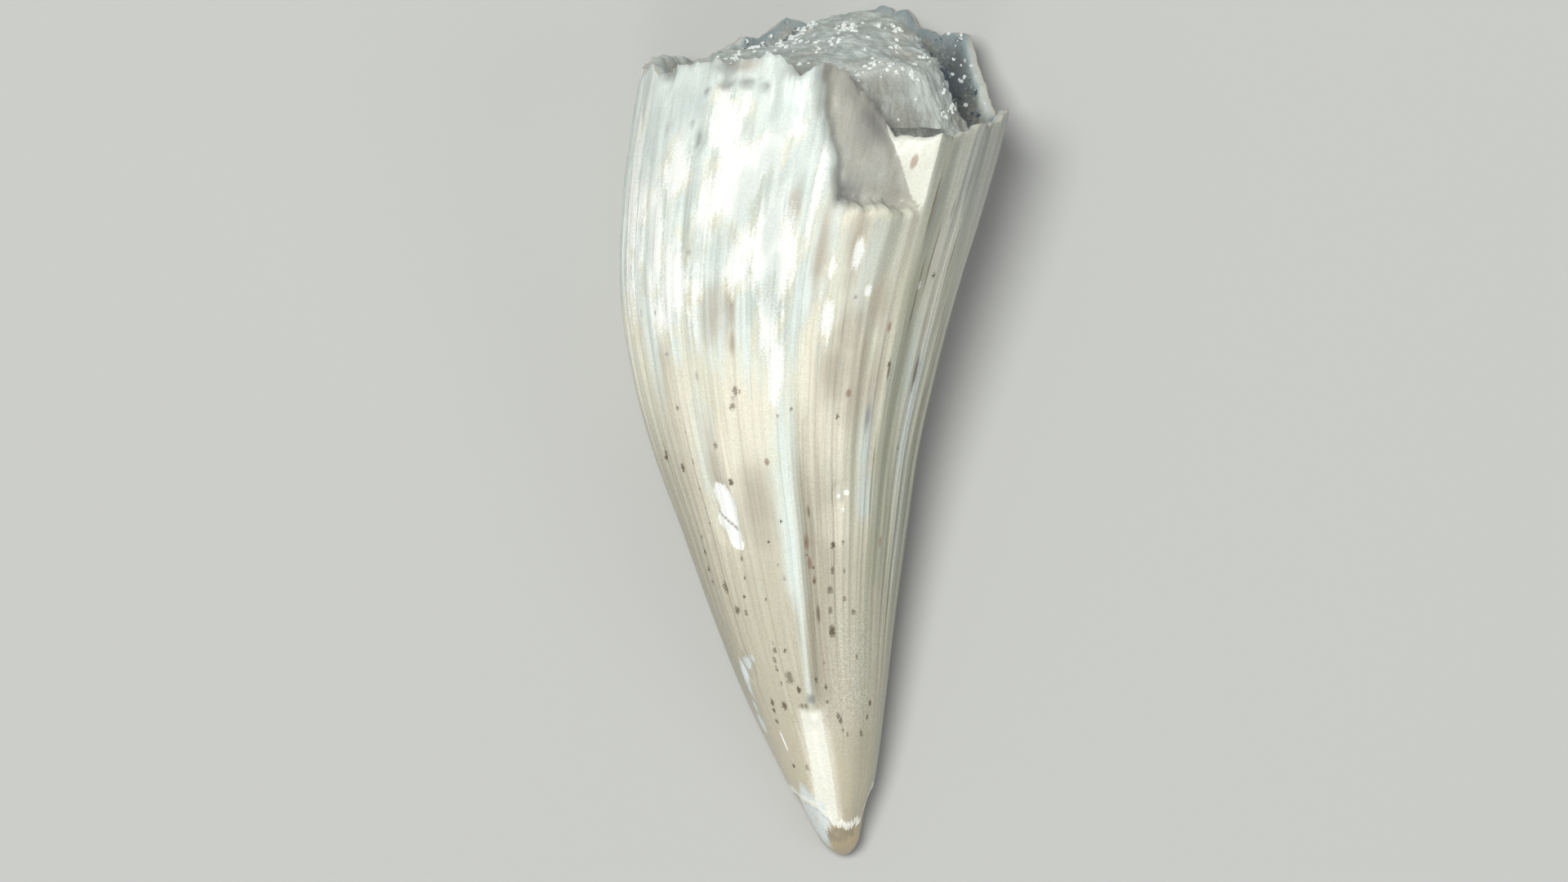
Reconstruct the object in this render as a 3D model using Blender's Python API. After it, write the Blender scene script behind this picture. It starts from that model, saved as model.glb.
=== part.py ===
"""Fossil amphibian tooth: a hollow-based conical crown, broken off at its root, lying on its side.

Metres, Z up. The tip points to -Y and the broken base to +Y. The origin is at the middle of the
bounding box, on the surface that the tooth rests on. Two surface coordinates are used throughout:
along, the distance from the tip in millimetres, and around, the angle in degrees about the axis,
0 on the upper side and growing towards +X.
"""

import math

import bmesh
import bpy

MM = 0.001

# Driving sizes, in millimetres.
LENGTH = 7.02
THICKNESS_RATIO = 0.90
UNDERSIDE_WORN = 0.03
TIP_ROUNDING = 0.16
TIP_LIFT = 0.10
TIP_LIFT_REACH = 1.8

# The crown from above: distance from the tip, middle of the width, half of the width.
CROWN = (
    (0.00, 0.243, 0.135),
    (0.35, 0.177, 0.260),
    (0.69, 0.130, 0.387),
    (1.35, 0.010, 0.593),
    (2.02, -0.087, 0.763),
    (2.69, -0.157, 0.920),
    (3.35, -0.223, 1.080),
    (4.02, -0.237, 1.240),
    (4.69, -0.200, 1.377),
    (5.35, -0.093, 1.477),
    (6.05, 0.047, 1.537),
    (6.60, 0.140, 1.520),
    (7.05, 0.230, 1.490),
)

# The broken edge of the wall: angle around, distance from the tip.
BROKEN_EDGE = (
    (0, 6.45), (6, 6.42), (10, 6.34), (24, 6.24), (31, 6.06), (37, 5.93), (45, 5.90), (60, 5.97),
    (75, 6.03), (87, 6.14), (94, 6.08), (108, 6.08), (114, 6.15), (122, 6.39), (128, 6.62),
    (133, 6.76), (143, 6.78), (153, 6.84), (157, 6.96), (165, 7.02), (170, 6.99), (173, 6.94),
    (179, 6.91), (187, 6.84), (193, 6.88), (197, 6.92), (203, 6.78), (211, 6.73), (218, 6.64),
    (225, 6.57), (228, 6.52), (235, 6.58), (245, 6.58), (256, 6.54), (268, 6.46), (278, 6.40),
    (287, 6.47), (297, 6.39), (308, 6.45), (318, 6.50), (328, 6.46), (335, 6.52), (345, 6.52),
    (352, 6.37), (356, 6.45), (360, 6.45),
)

# Lengthwise flutes: each has a narrow groove and a broad rib.
FLUTES = 40
FLUTE_DEPTH = 0.030
FLUTE_WANDER = 1.3
FLUTE_FADE = (1.0, 2.6)
RIB_SHOULDERS = (0.26, 0.76)
WORN_FRONT = 42
WORN_SHARE = 0.5

# Keel along the upper side, with a groove on its right.
KEEL_HEIGHT = 0.055
KEEL_GROOVE = 0.035
KEEL_WIDTH = 4.0
KEEL_RUN = (1.15, 3.95)
KEEL_LEAN = 5.0

# The flake lost from the upper right of the wall, beside the broken edge.
FLAKE_DEPTH = 0.19
FLAKE_FOOT = 5.30
FLAKE_TOP = 6.00
FLAKE_LEFT = (7.0, 13.0)
FLAKE_RIGHT = (27.0, 38.0)
FLAKE_LIP = 42.0
FLAKE_ROUNDING = 0.13
FLAKE_ROUNDING_REACH = 0.34

# Shallow scars: angle around, distance from the tip, half width and half length, depth.
SCARS = (
    (-36, 2.83, 0.13, 0.27, 0.030),
    (-52, 1.57, 0.09, 0.12, 0.025),
    (-4, 1.23, 0.05, 0.07, 0.030),
    (-38, 5.86, 0.07, 0.09, 0.035),
    (-57, 6.36, 0.07, 0.07, 0.040),
    (24, 2.98, 0.06, 0.10, 0.018),
)

# Bare tip below the worn end of the enamel.
TIP_STEP = 0.022
TIP_STEP_FRONT = 0.23
TIP_STEP_SIDE = 0.32
TIP_FACET = 0.030
TIP_FACET_WIDTH = 0.32
TIP_FACET_FOOT = (0.15, 0.4)
TIP_FACET_TOP = (1.05, 1.25)

# Broad low swells that keep any section from being a true oval.
SWELL_HEIGHT = 0.012
SWELL_FADE = (0.4, 2.5)

# The broken base: the wall, the hollow behind it, and the hard fill that stands up in the middle.
# The fill's own places are shares of the base's half width, across, and half height, up.
WALL_SHARE = 0.055
HOLLOW_DEPTH = 0.26
HOLLOW_DEPTH_FRONT = 0.07
HOLLOW_TURN = 160
FILL_FOOT = (0.80, 0.56)
FILL_HEIGHT = 6.60
FILL_SLOPE = 0.35
MOUND = (0.05, -0.45, 0.50, 0.50, 0.18)
BAYS = ((0.72, -0.15, 0.20, 0.50, -0.28), (-0.40, -0.56, 0.27, 0.40, -0.27))
LEDGE_AT = 0.44
LEDGE_DROP = 0.32
LEDGE_RISE = 0.14
LEDGE_RUN = (0.05, 0.40)
LEDGE_WAVE = 0.05
LUMP_HEIGHT = 0.026
BASE_CENTRE = (0.15, 1.33)

# Mesh rings: distance from the tip as a share of the wall, then shares of the base's radius.
# The inner rings of the base keep one column in three.
TIP_RINGS = (0.004, 0.012, 0.022, 0.034, 0.048, 0.065, 0.085)
WALL_RINGS = 27
EDGE_RINGS = (0.955, 0.90, 0.83)
FILL_RINGS = (0.74, 0.66, 0.58, 0.50, 0.42, 0.34, 0.25, 0.16, 0.07)
COLUMNS_PER_FLUTE = 3


def ramp(low, high, value):
    """0 at low and 1 at high, with a smooth change between them. High may be the smaller."""
    share = min(max((value - low) / (high - low), 0.0), 1.0)
    return share * share * (3 - 2 * share)


def hump(centre, width, value):
    return math.exp(-(((value - centre) / width) ** 2))


def signed(around):
    """The angle between -180 and 180."""
    return (around + 180) % 360 - 180


def straight(points, at):
    """Reads a broken line of (place, value) points."""
    for (a, low), (b, high) in zip(points, points[1:]):
        if at <= b:
            return low + (high - low) * (at - a) / (b - a)
    return points[-1][1]


def smooth(points, at):
    """Reads a smooth curve through (place, value) points."""
    last = len(points) - 1
    k = next((k for k in range(last) if at <= points[k + 1][0]), last - 1)

    def slope(i):
        before, after = points[max(i - 1, 0)], points[min(i + 1, last)]
        return (after[1] - before[1]) / (after[0] - before[0])

    (a, low), (b, high) = points[k], points[k + 1]
    step = b - a
    t = (at - a) / step
    bend_in = (t * t * t - 2 * t * t + t) * step * slope(k)
    bend_out = (t * t * t - t * t) * step * slope(k + 1)
    return low + (high - low) * t * t * (3 - 2 * t) + bend_in + bend_out


MIDDLE = [(along, middle) for along, middle, _ in CROWN]
HALF_WIDTH = [(along, half) for along, _, half in CROWN]


def groove_angle(k):
    """The angle of groove k, a little off its even place."""
    return 360 / FLUTES * (k + 0.5) + FLUTE_WANDER * math.sin(2.4 * (k % FLUTES) + 0.7)


def column_angles():
    """(angle, groove share) of each column: a groove and the two shoulders of the rib after it."""
    columns = []
    for k in range(FLUTES):
        start = groove_angle(k)
        gap = groove_angle(k + 1) - start
        columns.append((start, 1.0))
        columns.extend((start + gap * share, 0.0) for share in RIB_SHOULDERS)
    return columns


def edge_height(around):
    return straight(BROKEN_EDGE, around % 360)


def flake(around, along):
    """0 to 1: how much of the lost flake's depth is gone here."""
    turn = signed(around)
    down = min(max((FLAKE_TOP - along) / (FLAKE_TOP - FLAKE_FOOT), 0.0), 1.0)
    left = FLAKE_LEFT[0] + (FLAKE_LEFT[1] - FLAKE_LEFT[0]) * down
    right = FLAKE_RIGHT[0] + (FLAKE_RIGHT[1] - FLAKE_RIGHT[0]) * down
    side = min(max((FLAKE_LIP - turn) / (FLAKE_LIP - right), 0.0), 1.0)
    return ramp(left - 1.5, left + 2.5, turn) * side * ramp(FLAKE_FOOT, FLAKE_FOOT + 0.10, along)


def keel(around, along):
    """The ridge on the upper side, and the groove beside it."""
    turn = signed(around) + KEEL_LEAN * ramp(2.2, 0.9, along)
    low, high = KEEL_RUN
    strength = ramp(low, low + 0.35, along) * (1 - ramp(high - 0.8, high, along))
    ridge = KEEL_HEIGHT * hump(0, KEEL_WIDTH, turn)
    return strength * (ridge - KEEL_GROOVE * hump(2.1 * KEEL_WIDTH, KEEL_WIDTH, turn))


def scars(around, along, half):
    loss = 0.0
    for turn, place, wide, long, depth in SCARS:
        across = math.radians(signed(around - turn)) * half / wide
        off = math.hypot(across, (along - place) / long)
        loss += depth * (1 - ramp(0.75, 1.25, off))
    return loss


def tip_wear(around, along):
    """The step down from the enamel to the bare tip, and the polished facet above it."""
    turn = math.radians(signed(around + 6))
    step_at = TIP_STEP_FRONT + TIP_STEP_SIDE * math.sin(turn) ** 2
    bare = TIP_STEP * (1 - ramp(step_at - 0.05, step_at + 0.02, along))
    facet = TIP_FACET * hump(0, TIP_FACET_WIDTH, turn)
    return bare + facet * ramp(*TIP_FACET_FOOT, along) * (1 - ramp(*TIP_FACET_TOP, along))


def unevenness(around, along):
    turn = math.radians(around)
    swell = math.sin(2 * turn + 1.1 * along + 0.4) + 0.6 * math.sin(3 * turn - 1.7 * along)
    return SWELL_HEIGHT * ramp(*SWELL_FADE, along) * swell


def flake_rounding(around, along):
    """The flake's floor rounds over towards the broken edge, and so runs into the fill."""
    edge = edge_height(around)
    return FLAKE_ROUNDING * flake(around, edge) * ramp(edge - FLAKE_ROUNDING_REACH, edge, along) ** 2


def relief(around, along, groove, half):
    """How far the surface stands out from the plain oval section."""
    worn = 1 - WORN_SHARE * hump(0, WORN_FRONT, signed(around))
    depth = FLUTE_DEPTH * ramp(*FLUTE_FADE, along) * worn * groove
    gone = flake(around, along)
    out = keel(around, along) - depth * (1 - gone) - FLAKE_DEPTH * gone
    out -= flake_rounding(around, along)
    out += unevenness(around, along) - scars(around, along, half) - tip_wear(around, along)
    return out


def wall_point(around, along, groove):
    """A point of the outer wall, in millimetres."""
    blunt = math.sqrt(1 - max(1 - along / TIP_ROUNDING, 0.0) ** 2)
    half = smooth(HALF_WIDTH, along) * blunt
    out = relief(around, along, groove, half) * blunt
    turn = math.radians(around)
    lift = TIP_LIFT * max(1 - along / TIP_LIFT_REACH, 0.0) ** 2 - UNDERSIDE_WORN
    x = smooth(MIDDLE, along) + (half + out) * math.sin(turn)
    z = lift + half * THICKNESS_RATIO * (1 + math.cos(turn)) + out * math.cos(turn)
    return x, along, max(z, 0.0)


def fill_height(across, up):
    """Distance from the tip of the hard fill."""
    height = FILL_HEIGHT - FILL_SLOPE * up
    for middle, rise, wide, tall, by in (MOUND, *BAYS):
        height += by * hump(middle, wide, across) * hump(rise, tall, up)
    edge = LEDGE_AT + LEDGE_WAVE * math.sin(9 * across)
    height -= LEDGE_DROP * ramp(edge, edge + LEDGE_RISE, up) * ramp(*LEDGE_RUN, across)
    lumps = math.sin(7.3 * across + 1.0) * math.sin(6.1 * up + 0.4) + 0.6 * math.sin(13 * across - 9 * up)
    return height + LUMP_HEIGHT * lumps


def base_point(around, share):
    """A point of the broken base, at a share of the way out from its centre to the edge."""
    edge = edge_height(around)
    x_edge, _, z_edge = wall_point(around, edge, 0.0)
    x_mid, z_mid = BASE_CENTRE
    x = x_mid + (x_edge - x_mid) * share
    z = z_mid + (z_edge - z_mid) * share
    turn = math.radians(around)
    across, up = share * math.sin(turn), share * math.cos(turn)
    behind = 0.5 + 0.5 * math.cos(math.radians(around - HOLLOW_TURN))
    hollow = HOLLOW_DEPTH_FRONT + (HOLLOW_DEPTH - HOLLOW_DEPTH_FRONT) * behind
    sink = hollow * (1 - flake(around, edge)) * ramp(1 - WALL_SHARE + 0.01, 1 - 2 * WALL_SHARE, share)
    return x, edge - sink + (fill_height(across, up) - edge + sink) * ramp(*FILL_FOOT, share), z


def ring_distances(edge):
    """Distances from the tip of one column's rings: level near the tip, and following the edge above."""
    level = edge_height(45)
    shares = list(TIP_RINGS)
    first = TIP_RINGS[-1]
    shares += [first + (1 - first) * (i + 1) / WALL_RINGS for i in range(WALL_RINGS)]
    return [level * share + (edge - level) * share**4 for share in shares]


def add_ring(mesh, points):
    y_mid = LENGTH / 2
    return [mesh.verts.new((x * MM, (y - y_mid) * MM, z * MM)) for x, y, z in points]


def join_rings(mesh, lower, upper):
    for j, corner in enumerate(lower):
        after = (j + 1) % len(lower)
        mesh.faces.new((corner, upper[j], upper[after], lower[after]))


def join_to_sparse_ring(mesh, dense, sparse):
    """Joins a ring to one that has a corner for every third of its own."""
    for i, corner in enumerate(sparse):
        after = sparse[(i + 1) % len(sparse)]
        j = COLUMNS_PER_FLUTE * i
        run = [dense[(j + step) % len(dense)] for step in range(COLUMNS_PER_FLUTE + 1)]
        mesh.faces.new((run[0], corner, run[1]))
        mesh.faces.new((run[1], corner, after, run[2]))
        mesh.faces.new((run[2], after, run[3]))


def close_ring(mesh, ring, pole, outward):
    for j, corner in enumerate(ring):
        after = ring[(j + 1) % len(ring)]
        mesh.faces.new((pole, corner, after) if outward else (pole, after, corner))


def tooth_mesh():
    columns = column_angles()
    rows = [
        [wall_point(around, along, groove) for along in ring_distances(edge_height(around))]
        for around, groove in columns
    ]
    rings = [list(ring) for ring in zip(*rows)]
    rings += [[base_point(around, share) for around, _ in columns] for share in EDGE_RINGS]
    ribs = columns[::COLUMNS_PER_FLUTE]
    inner = [[base_point(around, share) for around, _ in ribs] for share in FILL_RINGS]

    shape = bmesh.new()
    loops = [add_ring(shape, ring) for ring in rings]
    for lower, upper in zip(loops, loops[1:]):
        join_rings(shape, lower, upper)
    fill = [add_ring(shape, ring) for ring in inner]
    join_to_sparse_ring(shape, loops[-1], fill[0])
    for lower, upper in zip(fill, fill[1:]):
        join_rings(shape, lower, upper)
    tip = add_ring(shape, [wall_point(0, 0, 0)])[0]
    x_mid, z_mid = BASE_CENTRE
    centre = add_ring(shape, [(x_mid, fill_height(0, 0), z_mid)])[0]
    close_ring(shape, loops[0], tip, True)
    close_ring(shape, fill[-1], centre, False)
    bmesh.ops.recalc_face_normals(shape, faces=shape.faces)
    centre_on_origin(shape)
    mesh = bpy.data.meshes.new("tooth")
    shape.to_mesh(mesh)
    shape.free()
    mesh.shade_smooth()
    mesh.set_sharp_from_angle(angle=math.radians(38))
    return mesh


def centre_on_origin(shape):
    """Moves the shape sideways so that its bounding box is centred on the origin."""
    for axis in (0, 1):
        places = [vert.co[axis] for vert in shape.verts]
        shift = (min(places) + max(places)) / 2
        for vert in shape.verts:
            vert.co[axis] -= shift


def fossil_material():
    material = bpy.data.materials.new("fossil_enamel")
    material.use_nodes = True
    shader = material.node_tree.nodes["Principled BSDF"]
    shader.inputs["Base Color"].default_value = (0.60, 0.57, 0.45, 1)
    shader.inputs["Roughness"].default_value = 0.38
    shader.inputs["Metallic"].default_value = 0.0
    return material


def main():
    for item in list(bpy.data.objects):
        bpy.data.objects.remove(item)
    tooth = bpy.data.objects.new("tooth", tooth_mesh())
    tooth.data.materials.append(fossil_material())
    bpy.context.scene.collection.objects.link(tooth)


main()
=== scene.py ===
import bpy
import numpy as np
from mathutils import Matrix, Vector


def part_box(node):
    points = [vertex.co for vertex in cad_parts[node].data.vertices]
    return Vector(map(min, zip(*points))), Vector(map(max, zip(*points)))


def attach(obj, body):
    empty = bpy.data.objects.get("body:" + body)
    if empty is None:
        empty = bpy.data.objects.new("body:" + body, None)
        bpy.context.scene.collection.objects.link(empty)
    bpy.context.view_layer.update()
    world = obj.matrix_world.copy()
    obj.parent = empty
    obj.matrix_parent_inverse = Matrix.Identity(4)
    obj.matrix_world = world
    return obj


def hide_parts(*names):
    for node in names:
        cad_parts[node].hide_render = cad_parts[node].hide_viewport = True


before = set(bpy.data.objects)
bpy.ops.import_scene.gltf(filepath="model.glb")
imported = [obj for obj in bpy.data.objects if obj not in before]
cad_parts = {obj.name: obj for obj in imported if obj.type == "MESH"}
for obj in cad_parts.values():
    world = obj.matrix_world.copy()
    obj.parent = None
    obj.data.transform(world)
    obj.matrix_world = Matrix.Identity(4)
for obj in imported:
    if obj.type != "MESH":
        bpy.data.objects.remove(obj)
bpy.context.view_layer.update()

mm = 0.001  # the shapes below are worked out in millimetres
seed = 7


# Curves and fields

def ease(low, high, value):
    share = np.clip((value - low) / (high - low), 0, 1)
    return share * share * (3 - 2 * share)


def swell(centre, width, value):
    return np.exp(-(((value - centre) / width) ** 2))


def turnFrom(place, around):
    return (around - place + 180) % 360 - 180


def smoothCurve(points, at):
    # cubic through (place, value) points, with the slope at each taken from its neighbours
    places, values = (np.array(row, float) for row in zip(*points))
    after = np.clip(np.arange(len(places)) + 1, 0, len(places) - 1)
    before = np.clip(np.arange(len(places)) - 1, 0, len(places) - 1)
    slopes = (values[after] - values[before]) / (places[after] - places[before])
    k = np.clip(np.searchsorted(places, at) - 1, 0, len(places) - 2)
    step = places[k + 1] - places[k]
    t = (at - places[k]) / step
    straight = values[k] + (values[k + 1] - values[k]) * t * t * (3 - 2 * t)
    bend = (t**3 - 2 * t * t + t) * slopes[k] + (t**3 - t * t) * slopes[k + 1]
    return straight + bend * step


def ripple(value, waves):
    # a repeatable wander from a few sine waves: (how many to a unit, how far)
    return sum(far * np.sin(value * many + 1.7 * i + 0.6) for i, (many, far) in enumerate(waves))


# Crown: the fluted wall of the tooth, from the tip to the broken edge

crownSpec = dict(
    length=7.02, thicknessRatio=0.90, undersideWorn=0.03,
    tipRounding=0.16, tipLift=0.10, tipLiftReach=1.8,
    outline=(  # distance from the tip, middle of the width, half of the width
        (0.00, 0.243, 0.135), (0.35, 0.177, 0.260), (0.69, 0.130, 0.387), (1.35, 0.010, 0.593),
        (2.02, -0.087, 0.763), (2.69, -0.157, 0.920), (3.35, -0.223, 1.080), (4.02, -0.237, 1.240),
        (4.69, -0.200, 1.377), (5.35, -0.093, 1.477), (6.05, 0.047, 1.537), (6.60, 0.140, 1.520),
        (7.05, 0.230, 1.490),
    ),
    brokenEdge=(  # angle around, distance from the tip
        (0, 6.45), (6, 6.42), (10, 6.34), (17, 6.20), (24, 6.04), (30, 5.91), (37, 5.87), (45, 5.88),
        (60, 5.97), (75, 6.03), (87, 6.14), (94, 6.08), (108, 6.08), (114, 6.15), (122, 6.39), (128, 6.62),
        (133, 6.76), (143, 6.78), (153, 6.84), (157, 6.96), (165, 7.02), (170, 6.99), (173, 6.94),
        (179, 6.91), (187, 6.84), (193, 6.88), (197, 6.92), (203, 6.78), (211, 6.73), (218, 6.64),
        (225, 6.57), (228, 6.52), (235, 6.58), (245, 6.58), (256, 6.54), (268, 6.46), (278, 6.40),
        (287, 6.47), (297, 6.39), (308, 6.45), (318, 6.50), (328, 6.46), (335, 6.52), (345, 6.52),
        (352, 6.37), (356, 6.45), (360, 6.45),
    ),
    edgeChips=((19.0, 0.014), (41.0, 0.010), (83.0, 0.006), (151.0, 0.004)),
    flutes=40, fluteWander=1.3, wornFront=42, wornShare=0.5,
    keelHeight=0.055, keelGroove=0.035, keelWidth=4.0, keelRun=(1.15, 3.95), keelLean=5.0,
    flakeDepth=0.19, flakeFoot=5.29, flakeTop=6.35, flakeLeft=(-3.0, 12.0), flakeRight=(18.5, 39.5),
    flakeLip=41.5, flakeRounding=0.13, flakeRoundingReach=0.34,
    scars=(  # angle around, distance from the tip, half width, half length, depth
        (-36, 2.83, 0.13, 0.27, 0.030), (-52, 1.57, 0.09, 0.12, 0.025), (-4, 1.23, 0.05, 0.07, 0.030),
        (-38, 5.86, 0.07, 0.09, 0.035), (-57, 6.36, 0.07, 0.07, 0.040), (24, 2.98, 0.06, 0.10, 0.018),
    ),
    tipStep=0.022, tipStepFront=0.235, tipStepLeft=0.30, tipStepRight=0.27, tipFacet=0.030,
    stripeAt=-0.06, stripeHalf=0.088, grainRadius=1.5,
    baseCentre=(0.15, 1.33), wallShare=0.055,
    hollowDepth=0.26, hollowDepthFront=0.07, hollowTurn=160,
    columns=400, upperShare=0.45, wallRows=232,
    rowSpacing=(  # distance from the tip, space between rows
        (0.0, 0.003), (0.05, 0.008), (0.16, 0.014), (0.6, 0.022), (4.0, 0.024), (4.6, 0.042), (7.0, 0.042),
    ),
    innerRows=(0.994, 0.982, 0.966, 0.948, 0.932, 0.918, 0.904, 0.89, 0.87, 0.845, 0.80, 0.55, 0.25),
    innerFalls=((0.86, 0.80, 0.07), (0.80, 0.55, 0.40)),  # share where it starts, where it ends, how deep
    innerGrit=0.006, innerPoleDepth=0.47,
)
halfWidth = [(along, half) for along, _, half in crownSpec["outline"]]
middleLine = [(along, middle) for along, middle, _ in crownSpec["outline"]]


def edgeChips(around):
    return ripple(np.radians(around), crownSpec["edgeChips"])


def edgeHeight(around):
    return np.interp(around % 360, *zip(*crownSpec["brokenEdge"])) + edgeChips(around)


def fluteWave(around):
    # cosine and sine of the place between grooves, 1 and 0 on a groove, so that it has no seam
    count = crownSpec["flutes"]
    k = np.arange(-1, count + 1)
    grooves = 360 / count * (k + 0.5) + crownSpec["fluteWander"] * np.sin(2.4 * (k % count) + 0.7)
    phase = 2 * np.pi * np.interp(around % 360, grooves, k.astype(float))
    return np.stack([np.cos(phase), np.sin(phase), np.zeros_like(phase)], axis=-1)


def flakeBorders(along):
    # angles of the left and right borders of the lost flake, and the share of the way down it
    spec = crownSpec
    down = np.clip((spec["flakeTop"] - along) / (spec["flakeTop"] - spec["flakeFoot"]), 0, 1)
    left, right = (top + (foot - top) * down for top, foot in (spec["flakeLeft"], spec["flakeRight"]))
    return left, right, down


def lostFlake(around, along):
    spec = crownSpec
    turn = turnFrom(0, around)
    left, right, _ = flakeBorders(along)
    left = left + ripple(along, ((9.0, 0.8), (23.0, 0.4)))
    side = np.clip((spec["flakeLip"] - turn) / (spec["flakeLip"] - right), 0, 1)
    foot = spec["flakeFoot"] - 0.002 * (turn - 20) + ripple(turn, ((0.5, 0.014), (1.3, 0.008)))
    return ease(left - 2.2, left + 4.4, turn) * side * ease(foot, foot + 0.08, along)


def keelRelief(around, along):
    spec = crownSpec
    turn = turnFrom(0, around) + spec["keelLean"] * ease(2.2, 0.9, along)
    low, high = spec["keelRun"]
    strength = ease(low, low + 0.35, along) * (1 - ease(high - 0.8, high, along))
    ridge = spec["keelHeight"] * swell(0, spec["keelWidth"], turn)
    return strength * (ridge - spec["keelGroove"] * swell(2.1 * spec["keelWidth"], spec["keelWidth"], turn))


def markField(marks, around, along, half):
    # 1 in the middle of a mark, a half on its border, 0 at twice its size
    field = np.zeros(np.shape(along))
    for turn, place, wide, long in marks:
        across = np.radians(turnFrom(turn, around)) * half / wide
        field = np.maximum(field, 1 - np.hypot(across, (along - place) / long) / 2)
    return field


def scarRelief(around, along, half):
    loss = np.zeros(np.shape(along))
    for turn, place, wide, long, depth in crownSpec["scars"]:
        shape = markField([(turn, place, wide, long)], around, along, half)
        loss = loss + depth * ease(0.38, 0.62, shape)
    return loss


def bareTip(around, along):
    # millimetres beyond the worn end of the enamel
    spec = crownSpec
    turn = np.radians(turnFrom(0, around))
    off = np.sin(np.clip(turn, -np.pi / 2, np.pi / 2))
    leftRise = spec["tipStepLeft"] * np.abs(off) ** 1.1
    rightRise = 0.05 * off**2 + spec["tipStepRight"] * ease(0.82, 0.98, off)
    stepAt = spec["tipStepFront"] + np.where(off > 0, rightRise, leftRise)
    return stepAt + ripple(turn, ((9.0, 0.012), (23.0, 0.008), (51.0, 0.005))) - along


def tipRelief(around, along):
    spec = crownSpec
    turn = np.radians(turnFrom(-6, around))
    facet = swell(0, 0.32, turn) * ease(0.15, 0.4, along) * (1 - ease(1.05, 1.25, along))
    return spec["tipStep"] * ease(-0.012, 0.02, bareTip(around, along)) + spec["tipFacet"] * facet


def flakeRounding(around, along):
    edge = edgeHeight(around) - edgeChips(around)
    nearEdge = ease(edge - crownSpec["flakeRoundingReach"], edge, along)
    return crownSpec["flakeRounding"] * lostFlake(around, edge) * nearEdge**2


def stripePlace(around, half):
    # millimetres sideways from the middle of the polished stripe on the tip
    return half * np.sin(np.radians(around)) - crownSpec["stripeAt"]


def stripeFlat(around, along, half):
    # the stripe is polished flat, as a chord across the round section
    spec = crownSpec
    off = np.abs(stripePlace(around, half)) + 1000 * (np.abs(turnFrom(0, around)) > 90)
    depth = np.clip(spec["stripeHalf"] ** 2 - off**2, 0, 1) / (2 * np.maximum(half, 0.05))
    return depth * ease(0.2, 0.27, along) * ease(1.24, 1.19, along)


def unevenness(around, along):
    turn = np.radians(around)
    waves = np.sin(2 * turn + 1.1 * along + 0.4) + 0.6 * np.sin(3 * turn - 1.7 * along)
    return 0.012 * ease(0.4, 2.5, along) * waves


def wallSurface(around, along):
    spec = crownSpec
    blunt = np.sqrt(1 - np.clip(1 - along / spec["tipRounding"], 0, 1) ** 2)
    half = smoothCurve(halfWidth, along) * blunt
    out = keelRelief(around, along) - spec["flakeDepth"] * lostFlake(around, along)
    out = out + unevenness(around, along) - scarRelief(around, along, half) - tipRelief(around, along)
    out = out - flakeRounding(around, along) - stripeFlat(around, along, half)
    turn = np.radians(around)
    lift = spec["tipLift"] * np.clip(1 - along / spec["tipLiftReach"], 0, 1) ** 2 - spec["undersideWorn"]
    x = smoothCurve(middleLine, along) + (half + out * blunt) * np.sin(turn)
    z = lift + half * spec["thicknessRatio"] * (1 + np.cos(turn)) + out * blunt * np.cos(turn)
    return x, np.maximum(z, 0), half


# Hard fill of the pulp cavity, standing up in the middle of the broken base

fillSpec = dict(
    foot=(0.56, 0.80), height=6.60, slope=0.35,
    mound=(0.05, -0.45, 0.50, 0.50, 0.18),  # middle across and up, half widths, height
    bays=((0.66, -0.50, 0.20, 0.52, -0.27), (-0.40, -0.56, 0.27, 0.40, -0.27)),
    ledgeAt=0.44, ledgeDrop=0.32, ledgeRise=0.14, ledgeRun=(0.05, 0.40), ledgeWave=0.05, lumpHeight=0.026,
    columns=440, rows=140, outer=0.88, rootRows=((0.45, 5.75), (0.80, 5.95)), root=5.6,
    grains=(  # across and distance from the tip, as seen from above
        (0.32, 6.81), (0.22, 6.79), (0.16, 6.68), (0.68, 6.63), (0.46, 6.49), (0.62, 6.45), (1.02, 6.53),
        (1.16, 6.39), (1.22, 6.33), (1.19, 6.22), (0.68, 6.79), (0.54, 6.83), (0.92, 6.76), (1.08, 6.74),
        (1.18, 6.71), (0.90, 6.55), (1.16, 6.50), (-0.48, 6.68), (-0.36, 6.70), (-0.16, 6.72), (-0.10, 6.79),
        (-0.08, 6.69), (-0.02, 6.84), (-0.79, 6.51), (-0.64, 6.55), (-0.26, 6.66), (0.03, 6.65), (0.36, 6.40),
        (0.50, 6.39), (0.80, 6.41), (1.04, 6.30), (1.12, 6.14), (1.05, 6.08),
    ),
    grainReach=0.034,
)


def ledgeEdge(across):
    return fillSpec["ledgeAt"] + fillSpec["ledgeWave"] * np.sin(9 * across) + 0.008 * np.sin(31 * across)


def fillHeight(across, up):
    spec = fillSpec
    height = spec["height"] - spec["slope"] * up
    for middle, rise, wide, tall, by in (spec["mound"], *spec["bays"]):
        height = height + by * swell(middle, wide, across) * swell(rise, tall, up)
    edge = ledgeEdge(across)
    drop = ease(edge, edge + spec["ledgeRise"], up) * ease(*spec["ledgeRun"], across)
    lumps = np.sin(7.3 * across + 1.0) * np.sin(6.1 * up + 0.4) + 0.6 * np.sin(13 * across - 9 * up)
    return height - spec["ledgeDrop"] * drop + spec["lumpHeight"] * lumps


def baysAt(across, up):
    return sum(swell(bay[0], bay[2], across) * swell(bay[1], bay[3], up) for bay in fillSpec["bays"])


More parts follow.
